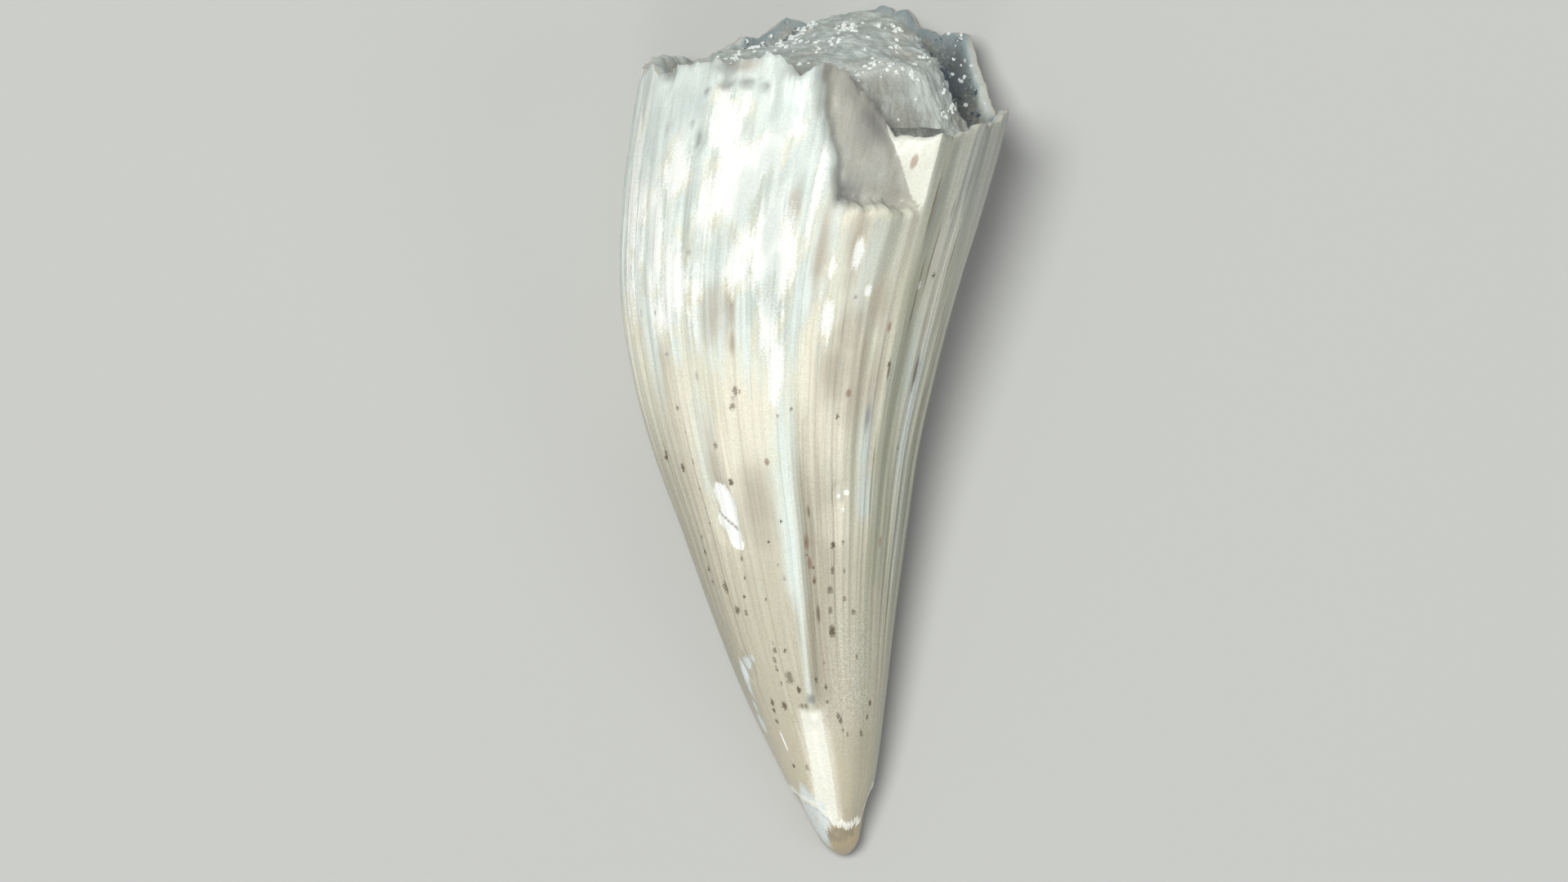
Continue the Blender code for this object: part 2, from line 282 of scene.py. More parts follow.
def hollowSink(around, edge, share):
    spec = crownSpec
    behind = 0.5 + 0.5 * np.cos(np.radians(around - spec["hollowTurn"]))
    deep = spec["hollowDepthFront"] + (spec["hollowDepth"] - spec["hollowDepthFront"]) * behind
    inner = 1 - spec["wallShare"]
    return deep * (1 - lostFlake(around, edge)) * ease(inner + 0.01, inner - spec["wallShare"], share)


def baseSurface(around, share):
    # the broken end: x, distance from the tip, z, and the place across and up
    edge = edgeHeight(around)
    xEdge, zEdge, half = wallSurface(around, edge)
    xMid, zMid = crownSpec["baseCentre"]
    turn = np.radians(around)
    across, up = share * np.sin(turn), share * np.cos(turn)
    # further in, the plain round section is followed, so that the lost flake leaves no crease
    xRound = smoothCurve(middleLine, edge) + half * np.sin(turn)
    zRound = half * crownSpec["thicknessRatio"] * (1 + np.cos(turn)) - crownSpec["undersideWorn"]
    inward = ease(1.0, 0.55, share)
    xEdge, zEdge = xEdge + (xRound - xEdge) * inward, zEdge + (zRound - zEdge) * inward
    low = edge - hollowSink(around, edge, share) - edgeChips(around) * ease(1.0, 0.88, share)
    level = low + (fillHeight(across, up) - low) * (1 - ease(*fillSpec["foot"], share))
    return xMid + (xEdge - xMid) * share, level, zMid + (zEdge - zMid) * share, across, up


# Meshes from rings of points

def meshFromRings(name, rings, poles, fields):
    # rings: rows x columns x 3 in millimetres, from the first pole to the last; fields: rows x columns each
    rows, columns, _ = rings.shape
    corner = np.arange(rows * columns).reshape(rows, columns)
    after = np.roll(corner, -1, axis=1)
    faces = np.stack([corner[:-1], after[:-1], after[1:], corner[1:]], axis=-1).reshape(-1, 4).tolist()
    first, last = rows * columns, rows * columns + 1
    faces += [(first, b, a) for a, b in zip(corner[0].tolist(), after[0].tolist())]
    faces += [(last, a, b) for a, b in zip(corner[-1].tolist(), after[-1].tolist())]
    points = np.concatenate([rings.reshape(-1, 3), np.array(poles, float)]) * mm
    mesh = bpy.data.meshes.new(name)
    mesh.from_pydata(points.tolist(), [], faces)
    for fieldName, values in fields.items():
        wide = values.ndim == 3
        layer = mesh.attributes.new(fieldName, "FLOAT_VECTOR" if wide else "FLOAT", "POINT")
        ends = np.stack([values[0].mean(axis=0), values[-1].mean(axis=0)])
        flat = np.concatenate([values.reshape(rows * columns, -1), ends.reshape(2, -1)])
        layer.data.foreach_set("vector" if wide else "value", flat.ravel().astype(np.float32))
    mesh.shade_smooth()
    return mesh


# Dark specks of the crown, and the fine crack across its chalky patch

speckSpec = dict(
    speckRows=(  # start angle and distance, end angle and distance, how many, half width
        (19, 2.56, 17, 1.86, 5, 0.017), (27, 2.59, 27, 2.13, 3, 0.013), (7, 2.58, 8, 2.29, 4, 0.009),
        (-12, 2.41, -21, 2.13, 2, 0.008), (-31, 2.44, -36, 2.01, 4, 0.01), (-49, 2.23, -45, 2.03, 2, 0.018),
        (-58, 2.63, -60, 2.27, 4, 0.013), (-23, 1.79, -26, 1.46, 5, 0.011),
        (-16, 1.49, -12.4, 1.37, 2, 0.021), (-38, 1.29, -41, 1.1, 3, 0.014),
        (-28, 1.25, -27, 1.21, 1, 0.014), (3, 1.47, 8, 1.3, 2, 0.009), (16, 1.18, 24, 1, 4, 0.012),
        (41, 1.02, 52, 1.29, 3, 0.013), (-45, 0.74, -27, 0.72, 2, 0.011), (35, 2.04, 37, 1.67, 2, 0.014),
        (-66, 3.4, -66, 3.27, 4, 0.016), (-48, 3.69, -48, 3.26, 3, 0.01), (-54, 3.2, -54, 3.16, 1, 0.016),
        (-31, 3.37, -29, 3.09, 2, 0.014), (-23, 3.71, -19, 3.82, 2, 0.018),
        (-47, 3.02, -47, 2.75, 3, 0.009), (-15, 1.71, -15, 1.71, 1, 0.012), (-7, 2.76, -15, 2.61, 2, 0.012),
        (60, 3.34, 74, 3.41, 2, 0.014), (21, 3.62, 2, 3.67, 2, 0.013), (43, 4.06, 43, 4, 1, 0.01),
        (57, 4.78, 57, 4.72, 1, 0.014), (9, 1.62, 9, 1.4, 2, 0.008),
    ),
    backSpecks=46, speckStretch=1.35, speckScatter=1.6, speckGrowth=1.22,
    hairLine=((-39.5, 2.84), (-31.0, 2.70), 0.011, 0.72),  # ends by angle and distance, half width, slant
)

# Other marks: angle around, distance from the tip, half width, half length

marksSpec = dict(
    rust=(
        (-9, 3.25, 0.022, 0.03), (26, 3.81, 0.024, 0.034), (36.5, 5.68, 0.022, 0.055),
        (52, 2.6, 0.014, 0.05), (40, 4.34, 0.016, 0.05), (-18, 3.82, 0.012, 0.02), (6, 2.59, 0.02, 0.065),
        (7, 2.43, 0.02, 0.055), (9, 2.29, 0.014, 0.035),
    ),
    # pale bleached enamel, partly a painted glare on the upper left
    bleachAndGlare=(
        (-28, 6.02, 0.2, 0.22), (-46, 5.6, 0.16, 0.2), (-22, 5.55, 0.22, 0.32), (-31, 5.28, 0.14, 0.26),
        (-13, 5.72, 0.14, 0.22), (-7, 5.95, 0.1, 0.1), (-55, 5.02, 0.16, 0.42), (-41, 4.72, 0.22, 0.32),
        (-51, 4.42, 0.1, 0.16), (-12, 5.02, 0.17, 0.34), (-2, 4.8, 0.08, 0.4), (14, 4.8, 0.05, 0.1),
        (22, 4.95, 0.04, 0.1), (14, 4.42, 0.06, 0.16), (50, 4.68, 0.03, 0.04), (28, 4.63, 0.03, 0.06),
        (-20, 4.82, 0.12, 0.18), (-7, 4.34, 0.1, 0.3), (-3, 4, 0.06, 0.26), (-63, 5.35, 0.1, 0.34),
        (4, 5.36, 0.05, 0.36), (-72, 5.6, 0.12, 0.5), (-70, 4.7, 0.1, 0.4), (150, 5.4, 0.3, 0.5),
        (215, 4.6, 0.25, 0.6), (250, 5.6, 0.2, 0.4),
    ),
    stains=(
        (-27, 4.45, 0.12, 0.24), (-20, 4.55, 0.05, 0.2), (-20, 4.21, 0.03, 0.1), (20, 4.01, 0.17, 0.22),
        (24, 4.3, 0.12, 0.24), (33, 4.56, 0.08, 0.2), (29, 3.8, 0.1, 0.22), (37, 3.83, 0.1, 0.24),
        (50, 2.12, 0.05, 0.1), (54, 1.97, 0.03, 0.1), (59, 4.32, 0.04, 0.26), (9, 2.6, 0.03, 0.2),
        (-52, 4.02, 0.05, 0.18), (-15, 2.9, 0.16, 0.3), (21, 5, 0.08, 0.3), (-34, 3.2, 0.06, 0.3),
        (-27, 6.46, 0.16, 0.06), (-2, 5.33, 0.06, 0.16), (9, 4.95, 0.05, 0.3), (30, 4.05, 0.05, 0.3),
        (110, 3.6, 0.1, 0.5), (170, 4.4, 0.16, 0.4), (230, 3.2, 0.1, 0.4), (200, 5.9, 0.12, 0.3),
    ),
    creamTone=(
        (-14, 3.78, 0.26, 0.5), (13, 3.39, 0.22, 0.26), (9, 4.05, 0.1, 0.45), (-16, 4.45, 0.1, 0.35),
        (-44, 3.6, 0.1, 0.45), (14, 5.24, 0.1, 0.09), (28, 5.26, 0.14, 0.07), (4, 5.55, 0.09, 0.34),
        (44, 4.5, 0.1, 0.6), (-28, 3.3, 0.12, 0.35), (20, 2.75, 0.14, 0.16), (47, 5.3, 0.05, 0.5),
        (130, 4.2, 0.3, 0.6), (190, 3.4, 0.25, 0.6), (240, 4.4, 0.3, 0.5),
    ),
    coolTone=(
        (-4, 4.35, 0.2, 0.5), (-37, 3.4, 0.09, 0.5), (0, 3.6, 0.07, 0.5), (50, 4.05, 0.12, 0.42),
        (36, 3.45, 0.07, 0.3), (62, 3.7, 0.1, 0.6), (39, 2.95, 0.1, 0.2), (70, 2.8, 0.1, 0.5),
        (-58, 4.2, 0.08, 0.4), (28, 4.8, 0.1, 0.4), (100, 4.8, 0.3, 0.7), (160, 3.2, 0.2, 0.6),
    ),
    darkLines=(
        (42, 3.08, 0.012, 0.46), (60, 3.98, 0.016, 0.16), (43, 4, 0.012, 0.1), (56, 5.32, 0.014, 0.12),
        (66, 3.1, 0.01, 0.5), (52, 4.9, 0.012, 0.35), (71, 4.4, 0.014, 0.5), (-66, 4.6, 0.01, 0.4),
        (49, 4.5, 0.012, 0.5), (-11.5, 1.25, 0.036, 0.022), (67, 2.2, 0.012, 0.4), (8, 2.85, 0.016, 0.06),
        (10, 2.02, 0.018, 0.08), (46, 5.35, 0.016, 0.3), (64, 5, 0.016, 0.4), (73, 3.7, 0.012, 0.4),
    ),
    # the grey marks just under the front rim and its notch, about 6.2 to 6.45 from the tip, are painted
    # shade; the others are grey spots and pits
    greySpots=(
        (-53, 5.95, 0.03, 0.04), (-39, 5.86, 0.04, 0.085), (-42, 5.98, 0.03, 0.04), (-24, 6.3, 0.1, 0.05),
        (-31, 6.3, 0.1, 0.055), (-18, 6.27, 0.06, 0.055), (-38, 6.24, 0.04, 0.05), (-32, 6.44, 0.18, 0.06),
        (-57, 6.4, 0.12, 0.08), (-37, 4.94, 0.026, 0.034), (-50, 4.12, 0.024, 0.02),
        (-36, 3.95, 0.02, 0.05), (-53, 4.46, 0.02, 0.03), (-62, 4.46, 0.02, 0.03), (24, 4.58, 0.02, 0.026),
        (-21, 3.76, 0.024, 0.022), (-10, 6.4, 0.11, 0.1), (-3, 3.62, 0.018, 0.018),
        (14.5, 5.41, 0.15, 0.15), (19, 5.98, 0.22, 0.2), (-3.5, 1.31, 0.04, 0.045), (-8, 2.3, 0.016, 0.02),
        (47, 5.25, 0.03, 0.3), (62, 5.6, 0.04, 0.3), (60, 4, 0.03, 0.2), (36, 3.62, 0.03, 0.16),
    ),
    # the thin line at -43 degrees, 0.96 from the tip, is a painted highlight; the rest are the chalky patch
    # and small white specks
    chalkAndGlint=(
        (-36, 2.99, 0.07, 0.09), (-33, 2.9, 0.09, 0.12), (-35, 2.78, 0.1, 0.11), (-33, 2.66, 0.07, 0.1),
        (-31, 2.58, 0.05, 0.05), (-43, 0.96, 0.008, 0.08), (28, 3, 0.02, 0.02), (24, 2.97, 0.014, 0.018),
        (26, 2.86, 0.014, 0.018), (66, 3.2, 0.016, 0.02),
    ),
    veil=(
        (-12, 5.69, 0.09, 0.14), (-17, 5.36, 0.11, 0.22), (-11, 6.03, 0.11, 0.16), (-56, 5.05, 0.07, 0.22),
        (-25, 4.98, 0.09, 0.2), (-9, 5.15, 0.06, 0.16), (-44, 6.15, 0.16, 0.16), (-34, 5.02, 0.05, 0.16),
        (-62, 5.75, 0.12, 0.3), (-6, 4.62, 0.07, 0.22),
    ),
    capShade=((-10, 0.18, 0.14, 0.055), (30, 0.20, 0.07, 0.04)),
    edgeWear=(
        (-44, 0.44, 0.06, 0.13), (-30, 0.34, 0.06, 0.12), (-62, 0.34, 0.07, 0.2), (-50, 0.2, 0.05, 0.12),
        (-60, 1.46, 0.026, 0.12), (-53, 1.6, 0.035, 0.05), (-45, 1.64, 0.04, 0.022),
        (-66, 1.1, 0.035, 0.07), (-64, 1.24, 0.02, 0.05),
    ),
)


def speckMarks():
    spec = speckSpec
    dice = np.random.default_rng(seed)
    marks = []
    for turn, place, turnEnd, placeEnd, count, wide in spec["speckRows"]:
        for i in range(count):
            share = i / max(count - 1, 1)
            size = wide * spec["speckGrowth"] * dice.uniform(0.7, 1.25)
            marks.append((
                turn + (turnEnd - turn) * share + spec["speckScatter"] * dice.uniform(-1, 1),
                place + (placeEnd - place) * share + 0.02 * dice.uniform(-1, 1),
                size, size * spec["speckStretch"] * dice.uniform(0.8, 1.3),
            ))
    for _ in range(spec["backSpecks"]):
        size = dice.uniform(0.010, 0.020)
        marks.append((dice.uniform(88, 272), dice.uniform(0.9, 5.6), size, size * spec["speckStretch"]))
    return marks


def crownFields(around, along, half, inside, bays):
    turn, side = np.radians(around), turnFrom(0, around)
    worn = 1 - crownSpec["wornShare"] * swell(0, crownSpec["wornFront"], side)
    keelTurn = side + crownSpec["keelLean"] * ease(2.2, 0.9, along)
    keelEnd, keelTop = crownSpec["keelRun"]
    keelRun = ease(keelEnd, keelEnd + 0.2, along) * ease(keelTop + 0.1, keelTop - 1.1, along)
    narrowed = ease(2.3, 1.9, along)
    _, flakeRight, down = flakeBorders(along)
    flakeRight = flakeRight + 2.5 * down
    lip, radius = crownSpec["flakeLip"], crownSpec["grainRadius"]
    belowFlake = ease(5.0, 5.28, along) * ease(9, 13, side) * ease(42, 37, side)
    underFlake = ease(4.1, 4.9, along) * ease(0, 9, side) * ease(62, 44, side)
    upperLeft = ease(28, -6, side) * ease(-150, -100, side)
    fields = dict(
        along=along, fluteWave=fluteWave(around), worn=worn, inside=inside,
        grain=np.stack([radius * np.sin(turn), radius * np.cos(turn), along], axis=-1),
        gone=lostFlake(around, along), bareTip=bareTip(around, along),
        # the right flank, whose grey tone is partly painted shade
        rightFlank=ease(10, 55, side) * ease(165, 92, side),
        # painted highlight on the left flank of the keel
        keelHighlight=keelRun * (1 - 0.35 * narrowed)
        * swell(-2.5 + 1.5 * narrowed, 5.0 - 2.4 * narrowed, keelTurn),
        leftShade=ease(-38, -68, side) * ease(-160, -110, side)
        * ease(4.3, 2.9, along) * ease(0.6, 1.6, along),
        slateSide=swell(0, 38, turnFrom(168, around)),
        calm=np.maximum(upperLeft * ease(4.9, 5.8, along), 0.9 * underFlake),
        keelShade=keelRun * ease(3, 7.5, keelTurn) * ease(25, 9, keelTurn),
        # the upper left whitened: bleached enamel and a painted glare
        whitenedAndGlare=upperLeft * ease(3.5, 4.9, along + 0.006 * turnFrom(-45, around)),
        torn=ease(flakeRight - 1.5, flakeRight + 1, side) * ease(lip + 1, lip - 0.6, side)
        * ease(5.23, 5.31, along) * ease(6.05, 5.95, along),
        nearEdge=np.maximum(ease(edgeHeight(around) - 0.22, edgeHeight(around), along), 0.4 * belowFlake),
        bays=bays, sand=swell(26, 26, side) * ease(0.9, 1.3, along) * ease(2.5, 1.7, along),
        stripe=(1 - np.abs(stripePlace(around, half)) / (2 * crownSpec["stripeHalf"])) * (np.abs(side) < 90),
        speck=markField(speckMarks(), around, along, half),
    )
    for name, marks in marksSpec.items():
        fields[name] = markField(marks, around, along, half)
    (startTurn, start), (endTurn, end), wide, slant = speckSpec["hairLine"]
    share = np.clip((along - start) / (end - start), 0, 1)
    offLine = np.radians(side - startTurn - (endTurn - startTurn) * share) * half
    beyond = np.abs(along - start - (end - start) * share)
    fields["hairLine"] = np.clip(1 - np.hypot(offLine * slant, beyond) / (3 * wide), 0, 1)
    return fields


def wallRowPlaces(reach):
    # row places from 0 to 1, closer together where the marks and the tip need it
    fine = np.linspace(0, reach, 4000)
    count = np.cumsum(1 / np.interp(fine, *zip(*crownSpec["rowSpacing"])))
    first = count[0] + 0.0012 * count[-1]  # the tip itself is the pole of the mesh
    return np.interp(np.linspace(first, count[-1], crownSpec["wallRows"]), count, fine) / reach


def crownMesh():
    spec = crownSpec
    even = np.linspace(0, 360, spec["columns"], endpoint=False)
    around = even - spec["upperShare"] * np.degrees(np.sin(np.radians(even)))  # closer on the upper side
    edge = edgeHeight(around)
    level = np.interp(45, *zip(*spec["brokenEdge"]))
    share = wallRowPlaces(level)[:, None]
    along = level * share + (edge - level)[None, :] * share**4
    x, z, half = wallSurface(np.broadcast_to(around, along.shape), along)
    rings = [np.stack([x, along, z], axis=-1)]
    inside, bays = [np.zeros(along.shape)], [np.zeros(along.shape)]
    for innerShare in spec["innerRows"]:
        x, level, z, across, up = baseSurface(around, np.full(around.shape, innerShare))
        under = sum(deep * ease(start, end, innerShare) for start, end, deep in spec["innerFalls"])
        grit = spec["innerGrit"] * ease(1, 0.97, innerShare)
        grit = grit * ripple(np.radians(around), ((57.0, 1.0), (97.0, 0.7)))
        rings.append(np.stack([x, level - under + grit, z], axis=-1)[None])
        inside.append(np.full((1, len(around)), (1 - innerShare) / spec["wallShare"]))
        bays.append(baysAt(across, up)[None])
    count = len(spec["innerRows"])
    along = np.concatenate([along, np.broadcast_to(edge, (count, len(edge)))])
    half = np.concatenate([half, np.broadcast_to(half[-1], (count, len(edge)))])
    turns = np.broadcast_to(around, along.shape)
    fields = crownFields(turns, along, half, np.concatenate(inside), np.concatenate(bays))
    tipX, tipZ, _ = wallSurface(np.zeros(1), np.zeros(1))
    xMid, zMid = spec["baseCentre"]
    poles = ((tipX[0], 0, tipZ[0]), (xMid, fillHeight(0.0, 0.0) - spec["innerPoleDepth"], zMid))
    return meshFromRings("crown", np.concatenate(rings), poles, fields)


def fillMesh():
    spec = fillSpec
    around = np.linspace(0, 360, spec["columns"], endpoint=False)
    shares = spec["outer"] * np.linspace(1, 0.006, spec["rows"])
    rings, across, up = [], [], []
    for share, height in (*spec["rootRows"], *((share, None) for share in shares)):
        x, along, z, acrossRow, upRow = baseSurface(around, np.full(around.shape, share))
        along = along - 0.06 * ease(0.79, 0.87, share) if height is None else np.full(around.shape, height)
        rings.append(np.stack([x, along, z], axis=-1))
        across.append(acrossRow)
        up.append(upRow)
    rings, across, up = np.array(rings), np.array(across), np.array(up)
    bays, edge = baysAt(across, up), ledgeEdge(across)
    grains = np.zeros(across.shape)
    for x, along in spec["grains"]:
        away = np.hypot(rings[..., 0] - x, rings[..., 1] - along) / spec["grainReach"]
        grains = np.maximum(grains, np.exp(-away * away))
    fields = dict(
        bays=bays,
        belowLedge=ease(edge - 0.02, edge + 0.06, up) * ease(0.0, 0.25, across),
        ledge=swell(edge - 0.04, 0.09, up) * ease(-0.05, 0.15, across), grains=grains,
        brownCore=swell(0.24, 0.32, across) * ease(0.25, 0.6, up),
        rim=ease(0.62, 0.84, np.hypot(across, up)),
    )
    xMid, zMid = crownSpec["baseCentre"]
    poles = ((xMid, spec["root"], zMid), (xMid, fillHeight(0.0, 0.0), zMid))
    return meshFromRings("hardFill", rings, poles, fields)


# Node trees

building = {}  # the node tree that the functions below add to


def join(value, socket):
    building["tree"].links.new(value, socket)


def setInputs(node, values):
    for key, value in values.items():
        if isinstance(value, bpy.types.NodeSocket):
            join(value, node.inputs[key])
        else:
            node.inputs[key].default_value = value


def addNode(kind, inputs=None, **settings):
    made = building["tree"].nodes.new(kind)
    for name, value in settings.items():
        setattr(made, name, value)
    setInputs(made, inputs or {})
    return made


def maths(does, a, b=0.0, c=0.0):
    return addNode("ShaderNodeMath", {0: a, 1: b, 2: c}, operation=does).outputs[0]


def minus(a, b):
    return maths("SUBTRACT", a, b)


def larger(a, b):
    return maths("MAXIMUM", a, b)


def times(*values):
    result = values[0]
    for value in values[1:]:
        result = maths("MULTIPLY", result, value)
    return result


def plus(*values):
    result = values[0]
    for value in values[1:]:
        result = maths("ADD", result, value)
    return result


def rising(value, low, high, start=0.0, end=1.0):
    # goes smoothly from start at low to end at high
    return addNode("ShaderNodeMapRange", {
        "Value": value, "From Min": low, "From Max": high, "To Min": start, "To Max": end,
    }, interpolation_type="SMOOTHSTEP").outputs["Result"]


def faded(value, share):
    # 1 where the value is 0, and smoothly down to a share where it is 1
    return rising(value, 0.0, 1.0, 1.0, share)


def noiseIn(vector, scale, detail=3.0, rough=0.55):
    return addNode("ShaderNodeTexNoise", {
        "Vector": vector, "Scale": scale, "Detail": detail, "Roughness": rough,
    }).outputs[0]


def swayIn(*noise):
    return plus(noiseIn(*noise), -0.5)


def vectorOf(x, y, z):
    return addNode("ShaderNodeCombineXYZ", {0: x, 1: y, 2: z}).outputs[0]


def cellsIn(vector, scale):
    return addNode("ShaderNodeTexVoronoi", {"Vector": vector, "Scale": scale}, feature="F1").outputs


def stretched(vector, by):
    return addNode("ShaderNodeVectorMath", {0: vector, 1: by}, operation="MULTIPLY").outputs[0]


def scaled(vector, by):
    return addNode("ShaderNodeVectorMath", {0: vector, "Scale": by}, operation="SCALE").outputs[0]


def inMillimetres(position):
    return stretched(position, (1 / mm, 1 / mm, 1 / mm))


def blend(share, a, b, how="MIX"):
    a, b = ((*tone, 1) if isinstance(tone, tuple) else tone for tone in (a, b))
    return addNode("ShaderNodeMix", {0: share, 6: a, 7: b}, data_type="RGBA", blend_type=how).outputs[2]


def layered(colour, tones, layers):
    # each layer: the name of its tone, and the factors of how much of it shows
    for tone, *shares in layers:
        colour = blend(times(*shares), colour, tones[tone])
    return colour


def newGroup(name, kind, inputs, outputs):
    building["tree"] = tree = bpy.data.node_groups.new(name, kind)
    for label, (socket, value) in inputs.items():
        made = tree.interface.new_socket(label, in_out="INPUT", socket_type="NodeSocket" + socket)
        if value is not None:
            made.default_value = value
    for label, socket in outputs.items():
        tree.interface.new_socket(label, in_out="OUTPUT", socket_type="NodeSocket" + socket)
    return tree, addNode("NodeGroupInput").outputs, addNode("NodeGroupOutput").inputs


def shapeTree(name, inputs):
    sockets = {"Geometry": ("Geometry", None)}
    sockets.update({label: ("Float", value) for label, value in inputs.items()})
    sockets["Material"] = ("Material", None)
    return newGroup(name, "GeometryNodeTree", sockets, {"Geometry": "Geometry"})


def endShape(geometry, material, out):
    real = addNode("GeometryNodeRealizeInstances", {0: geometry}).outputs[0]
    painted = addNode("GeometryNodeSetMaterial", {"Geometry": real, "Material": material})
    join(painted.outputs[0], out["Geometry"])


def fieldIn(name, kind="FLOAT"):
    return addNode("GeometryNodeInputNamedAttribute", {"Name": name}, data_type=kind).outputs["Attribute"]


def keptOn(geometry, fields):
    for name, value in fields.items():
        geometry = addNode("GeometryNodeStoreNamedAttribute", {
            "Geometry": geometry, "Name": name, "Value": value,
        }, data_type="FLOAT", domain="POINT").outputs[0]
    return geometry


def rockNoises(place):
    return {"rockBroad": noiseIn(place, 2.3, 4.0), "rockMiddle": noiseIn(place, 8.0, 4.0, 0.62)}


def moved(geometry, offset):
    return addNode("GeometryNodeSetPosition", {"Geometry": geometry, "Offset": offset}).outputs[0]


def shifted(geometry, amount):
    # moves every point along its normal by an amount in millimetres
    return moved(geometry, scaled(addNode("GeometryNodeInputNormal").outputs[0], times(amount, mm)))


def newObject(name, data):
    made = bpy.data.objects.new(name, data)
    bpy.context.scene.collection.objects.link(made)
    return made


def shapedBy(tree, mesh, values):
    # runs the tree on a mesh and returns the result as a plain mesh
    carrier = newObject(mesh.name + "Carrier", mesh)
    modifier = carrier.modifiers.new(tree.name, "NODES")
    modifier.node_group = tree
    for item in tree.interface.items_tree:
        if item.in_out == "INPUT" and item.name in values:
            modifier[item.identifier] = values[item.name]
    graph = bpy.context.evaluated_depsgraph_get()
    result = bpy.data.meshes.new_from_object(carrier.evaluated_get(graph), depsgraph=graph)
    carrier.modifiers.remove(modifier)
    bpy.data.objects.remove(carrier)
    return result


# Flutes, fine growth lines and weathering of the crown

fluteSizes = {  # millimetres
    "Flute Depth": 0.019, "Groove Width": 0.58, "Waver": 0.9, "Second Depth": 0.007,
    "Line Count": 9.0, "Line Depth": 0.0045, "Fade Start": 0.9, "Fade End": 2.7,
    "Weather Depth": 0.014, "Weather Size": 9.0, "Pit Depth": 0.006, "Fracture Depth": 0.036,
    "Fracture Size": 9.0, "Cloud Size": 3.4,
}


def crownTree():
    tree, given, out = shapeTree("crownFlutes", fluteSizes)
    along = fieldIn("along")
    grain = fieldIn("grain", "FLOAT_VECTOR")
    outside = rising(fieldIn("inside"), 0.0, 0.08, 1.0, 0.0)
    kept = times(outside, rising(fieldIn("gone"), 0.0, 0.6, 1.0, 0.0))

    wave = addNode("ShaderNodeSeparateXYZ", {0: fieldIn("fluteWave", "FLOAT_VECTOR")}).outputs
    drift = times(swayIn(stretched(grain, (1.2, 1.2, 0.5)), 1.0, 1.0), given["Waver"])
    wave = minus(times(wave[0], maths("COSINE", drift)), times(wave[1], maths("SINE", drift)))
    breadth = noiseIn(stretched(grain, (3.7, 3.7, 0.3)), 1.0, 2.0)
    breadth = times(given["Groove Width"], rising(breadth, 0.35, 0.65, 0.9, 2.7))
    sharp = minus(1.0, breadth)
    groove = rising(wave, sharp, 1.0)
    second = rising(wave, -0.8, -1.0)

    own = noiseIn(stretched(grain, (2.6, 2.6, 0.12)), 1.0, 2.0)  # each flute's own strength and reach
    reach = plus(along, times(plus(own, -0.5), 2.2))
    fade = rising(reach, given["Fade Start"], given["Fade End"])
    edgeWorn = faded(fieldIn("nearEdge"), 0.35)
    calm, rightFlank = fieldIn("calm"), fieldIn("rightFlank")
    uneven = rising(own, 0.3, 0.62, 0.35, 1.2)
    flank = faded(times(rightFlank, rising(along, 3.8, 5.4)), 0.55)
    strength = times(fade, fieldIn("worn"), uneven, edgeWorn, flank, faded(calm, 0.3))
    deep = plus(times(groove, given["Flute Depth"]), times(second, given["Second Depth"]))
    flutes = times(strength, deep)

    across = vectorOf(given["Line Count"], given["Line Count"], 0.45)
    lines = swayIn(stretched(grain, across), 1.0, 3.0)
    plain = times(faded(calm, 0.25), faded(rightFlank, 0.4))
    lines = times(lines, given["Line Depth"], rising(along, 0.5, 2.4), plain)

    place = inMillimetres(addNode("GeometryNodeInputPosition").outputs[0])
    weather = swayIn(place, given["Weather Size"], 5.0, 0.6)
    weather = times(weather, given["Weather Depth"], rising(along, 3.2, 5.4, 0.15, 1.0))
    pits = times(rising(fieldIn("speck"), 0.42, 0.7), given["Pit Depth"])
    skin = minus(plus(lines, weather), plus(flutes, pits))

    broken = larger(minus(1.0, kept), times(fieldIn("nearEdge"), 0.8))
    torn = swayIn(place, given["Fracture Size"], 5.0, 0.6)
    torn = times(torn, given["Fracture Depth"], broken)
    lifted = plus(times(skin, kept), torn)

    noises = {  # the material reads these from the points
        "broad": rising(noiseIn(stretched(grain, (2.6, 2.6, 0.22)), 1.0, 3.0), 0.33, 0.67),
        "narrow": rising(noiseIn(stretched(grain, (8.0, 8.0, 0.34)), 1.0, 3.0), 0.33, 0.67),
        "cloudy": noiseIn(place, given["Cloud Size"], 4.0, 0.6),
        "mottled": noiseIn(stretched(grain, (7.0, 7.0, 2.6)), 1.0, 4.0, 0.62),
        **rockNoises(place),
    }
    endShape(shifted(keptOn(given["Geometry"], noises), lifted), given["Material"], out)
    return tree


# Rough mineral of the fill

fillSizes = {  # millimetres
    "Lump Size": 2.8, "Lump Depth": 0.065, "Grain Size": 14.0, "Grain Depth": 0.010,
    "Facet Size": 13.0, "Facet Depth": 0.05, "Layer Count": 22.0, "Layer Depth": 0.030,
    "Sugar Size": 30.0,
}


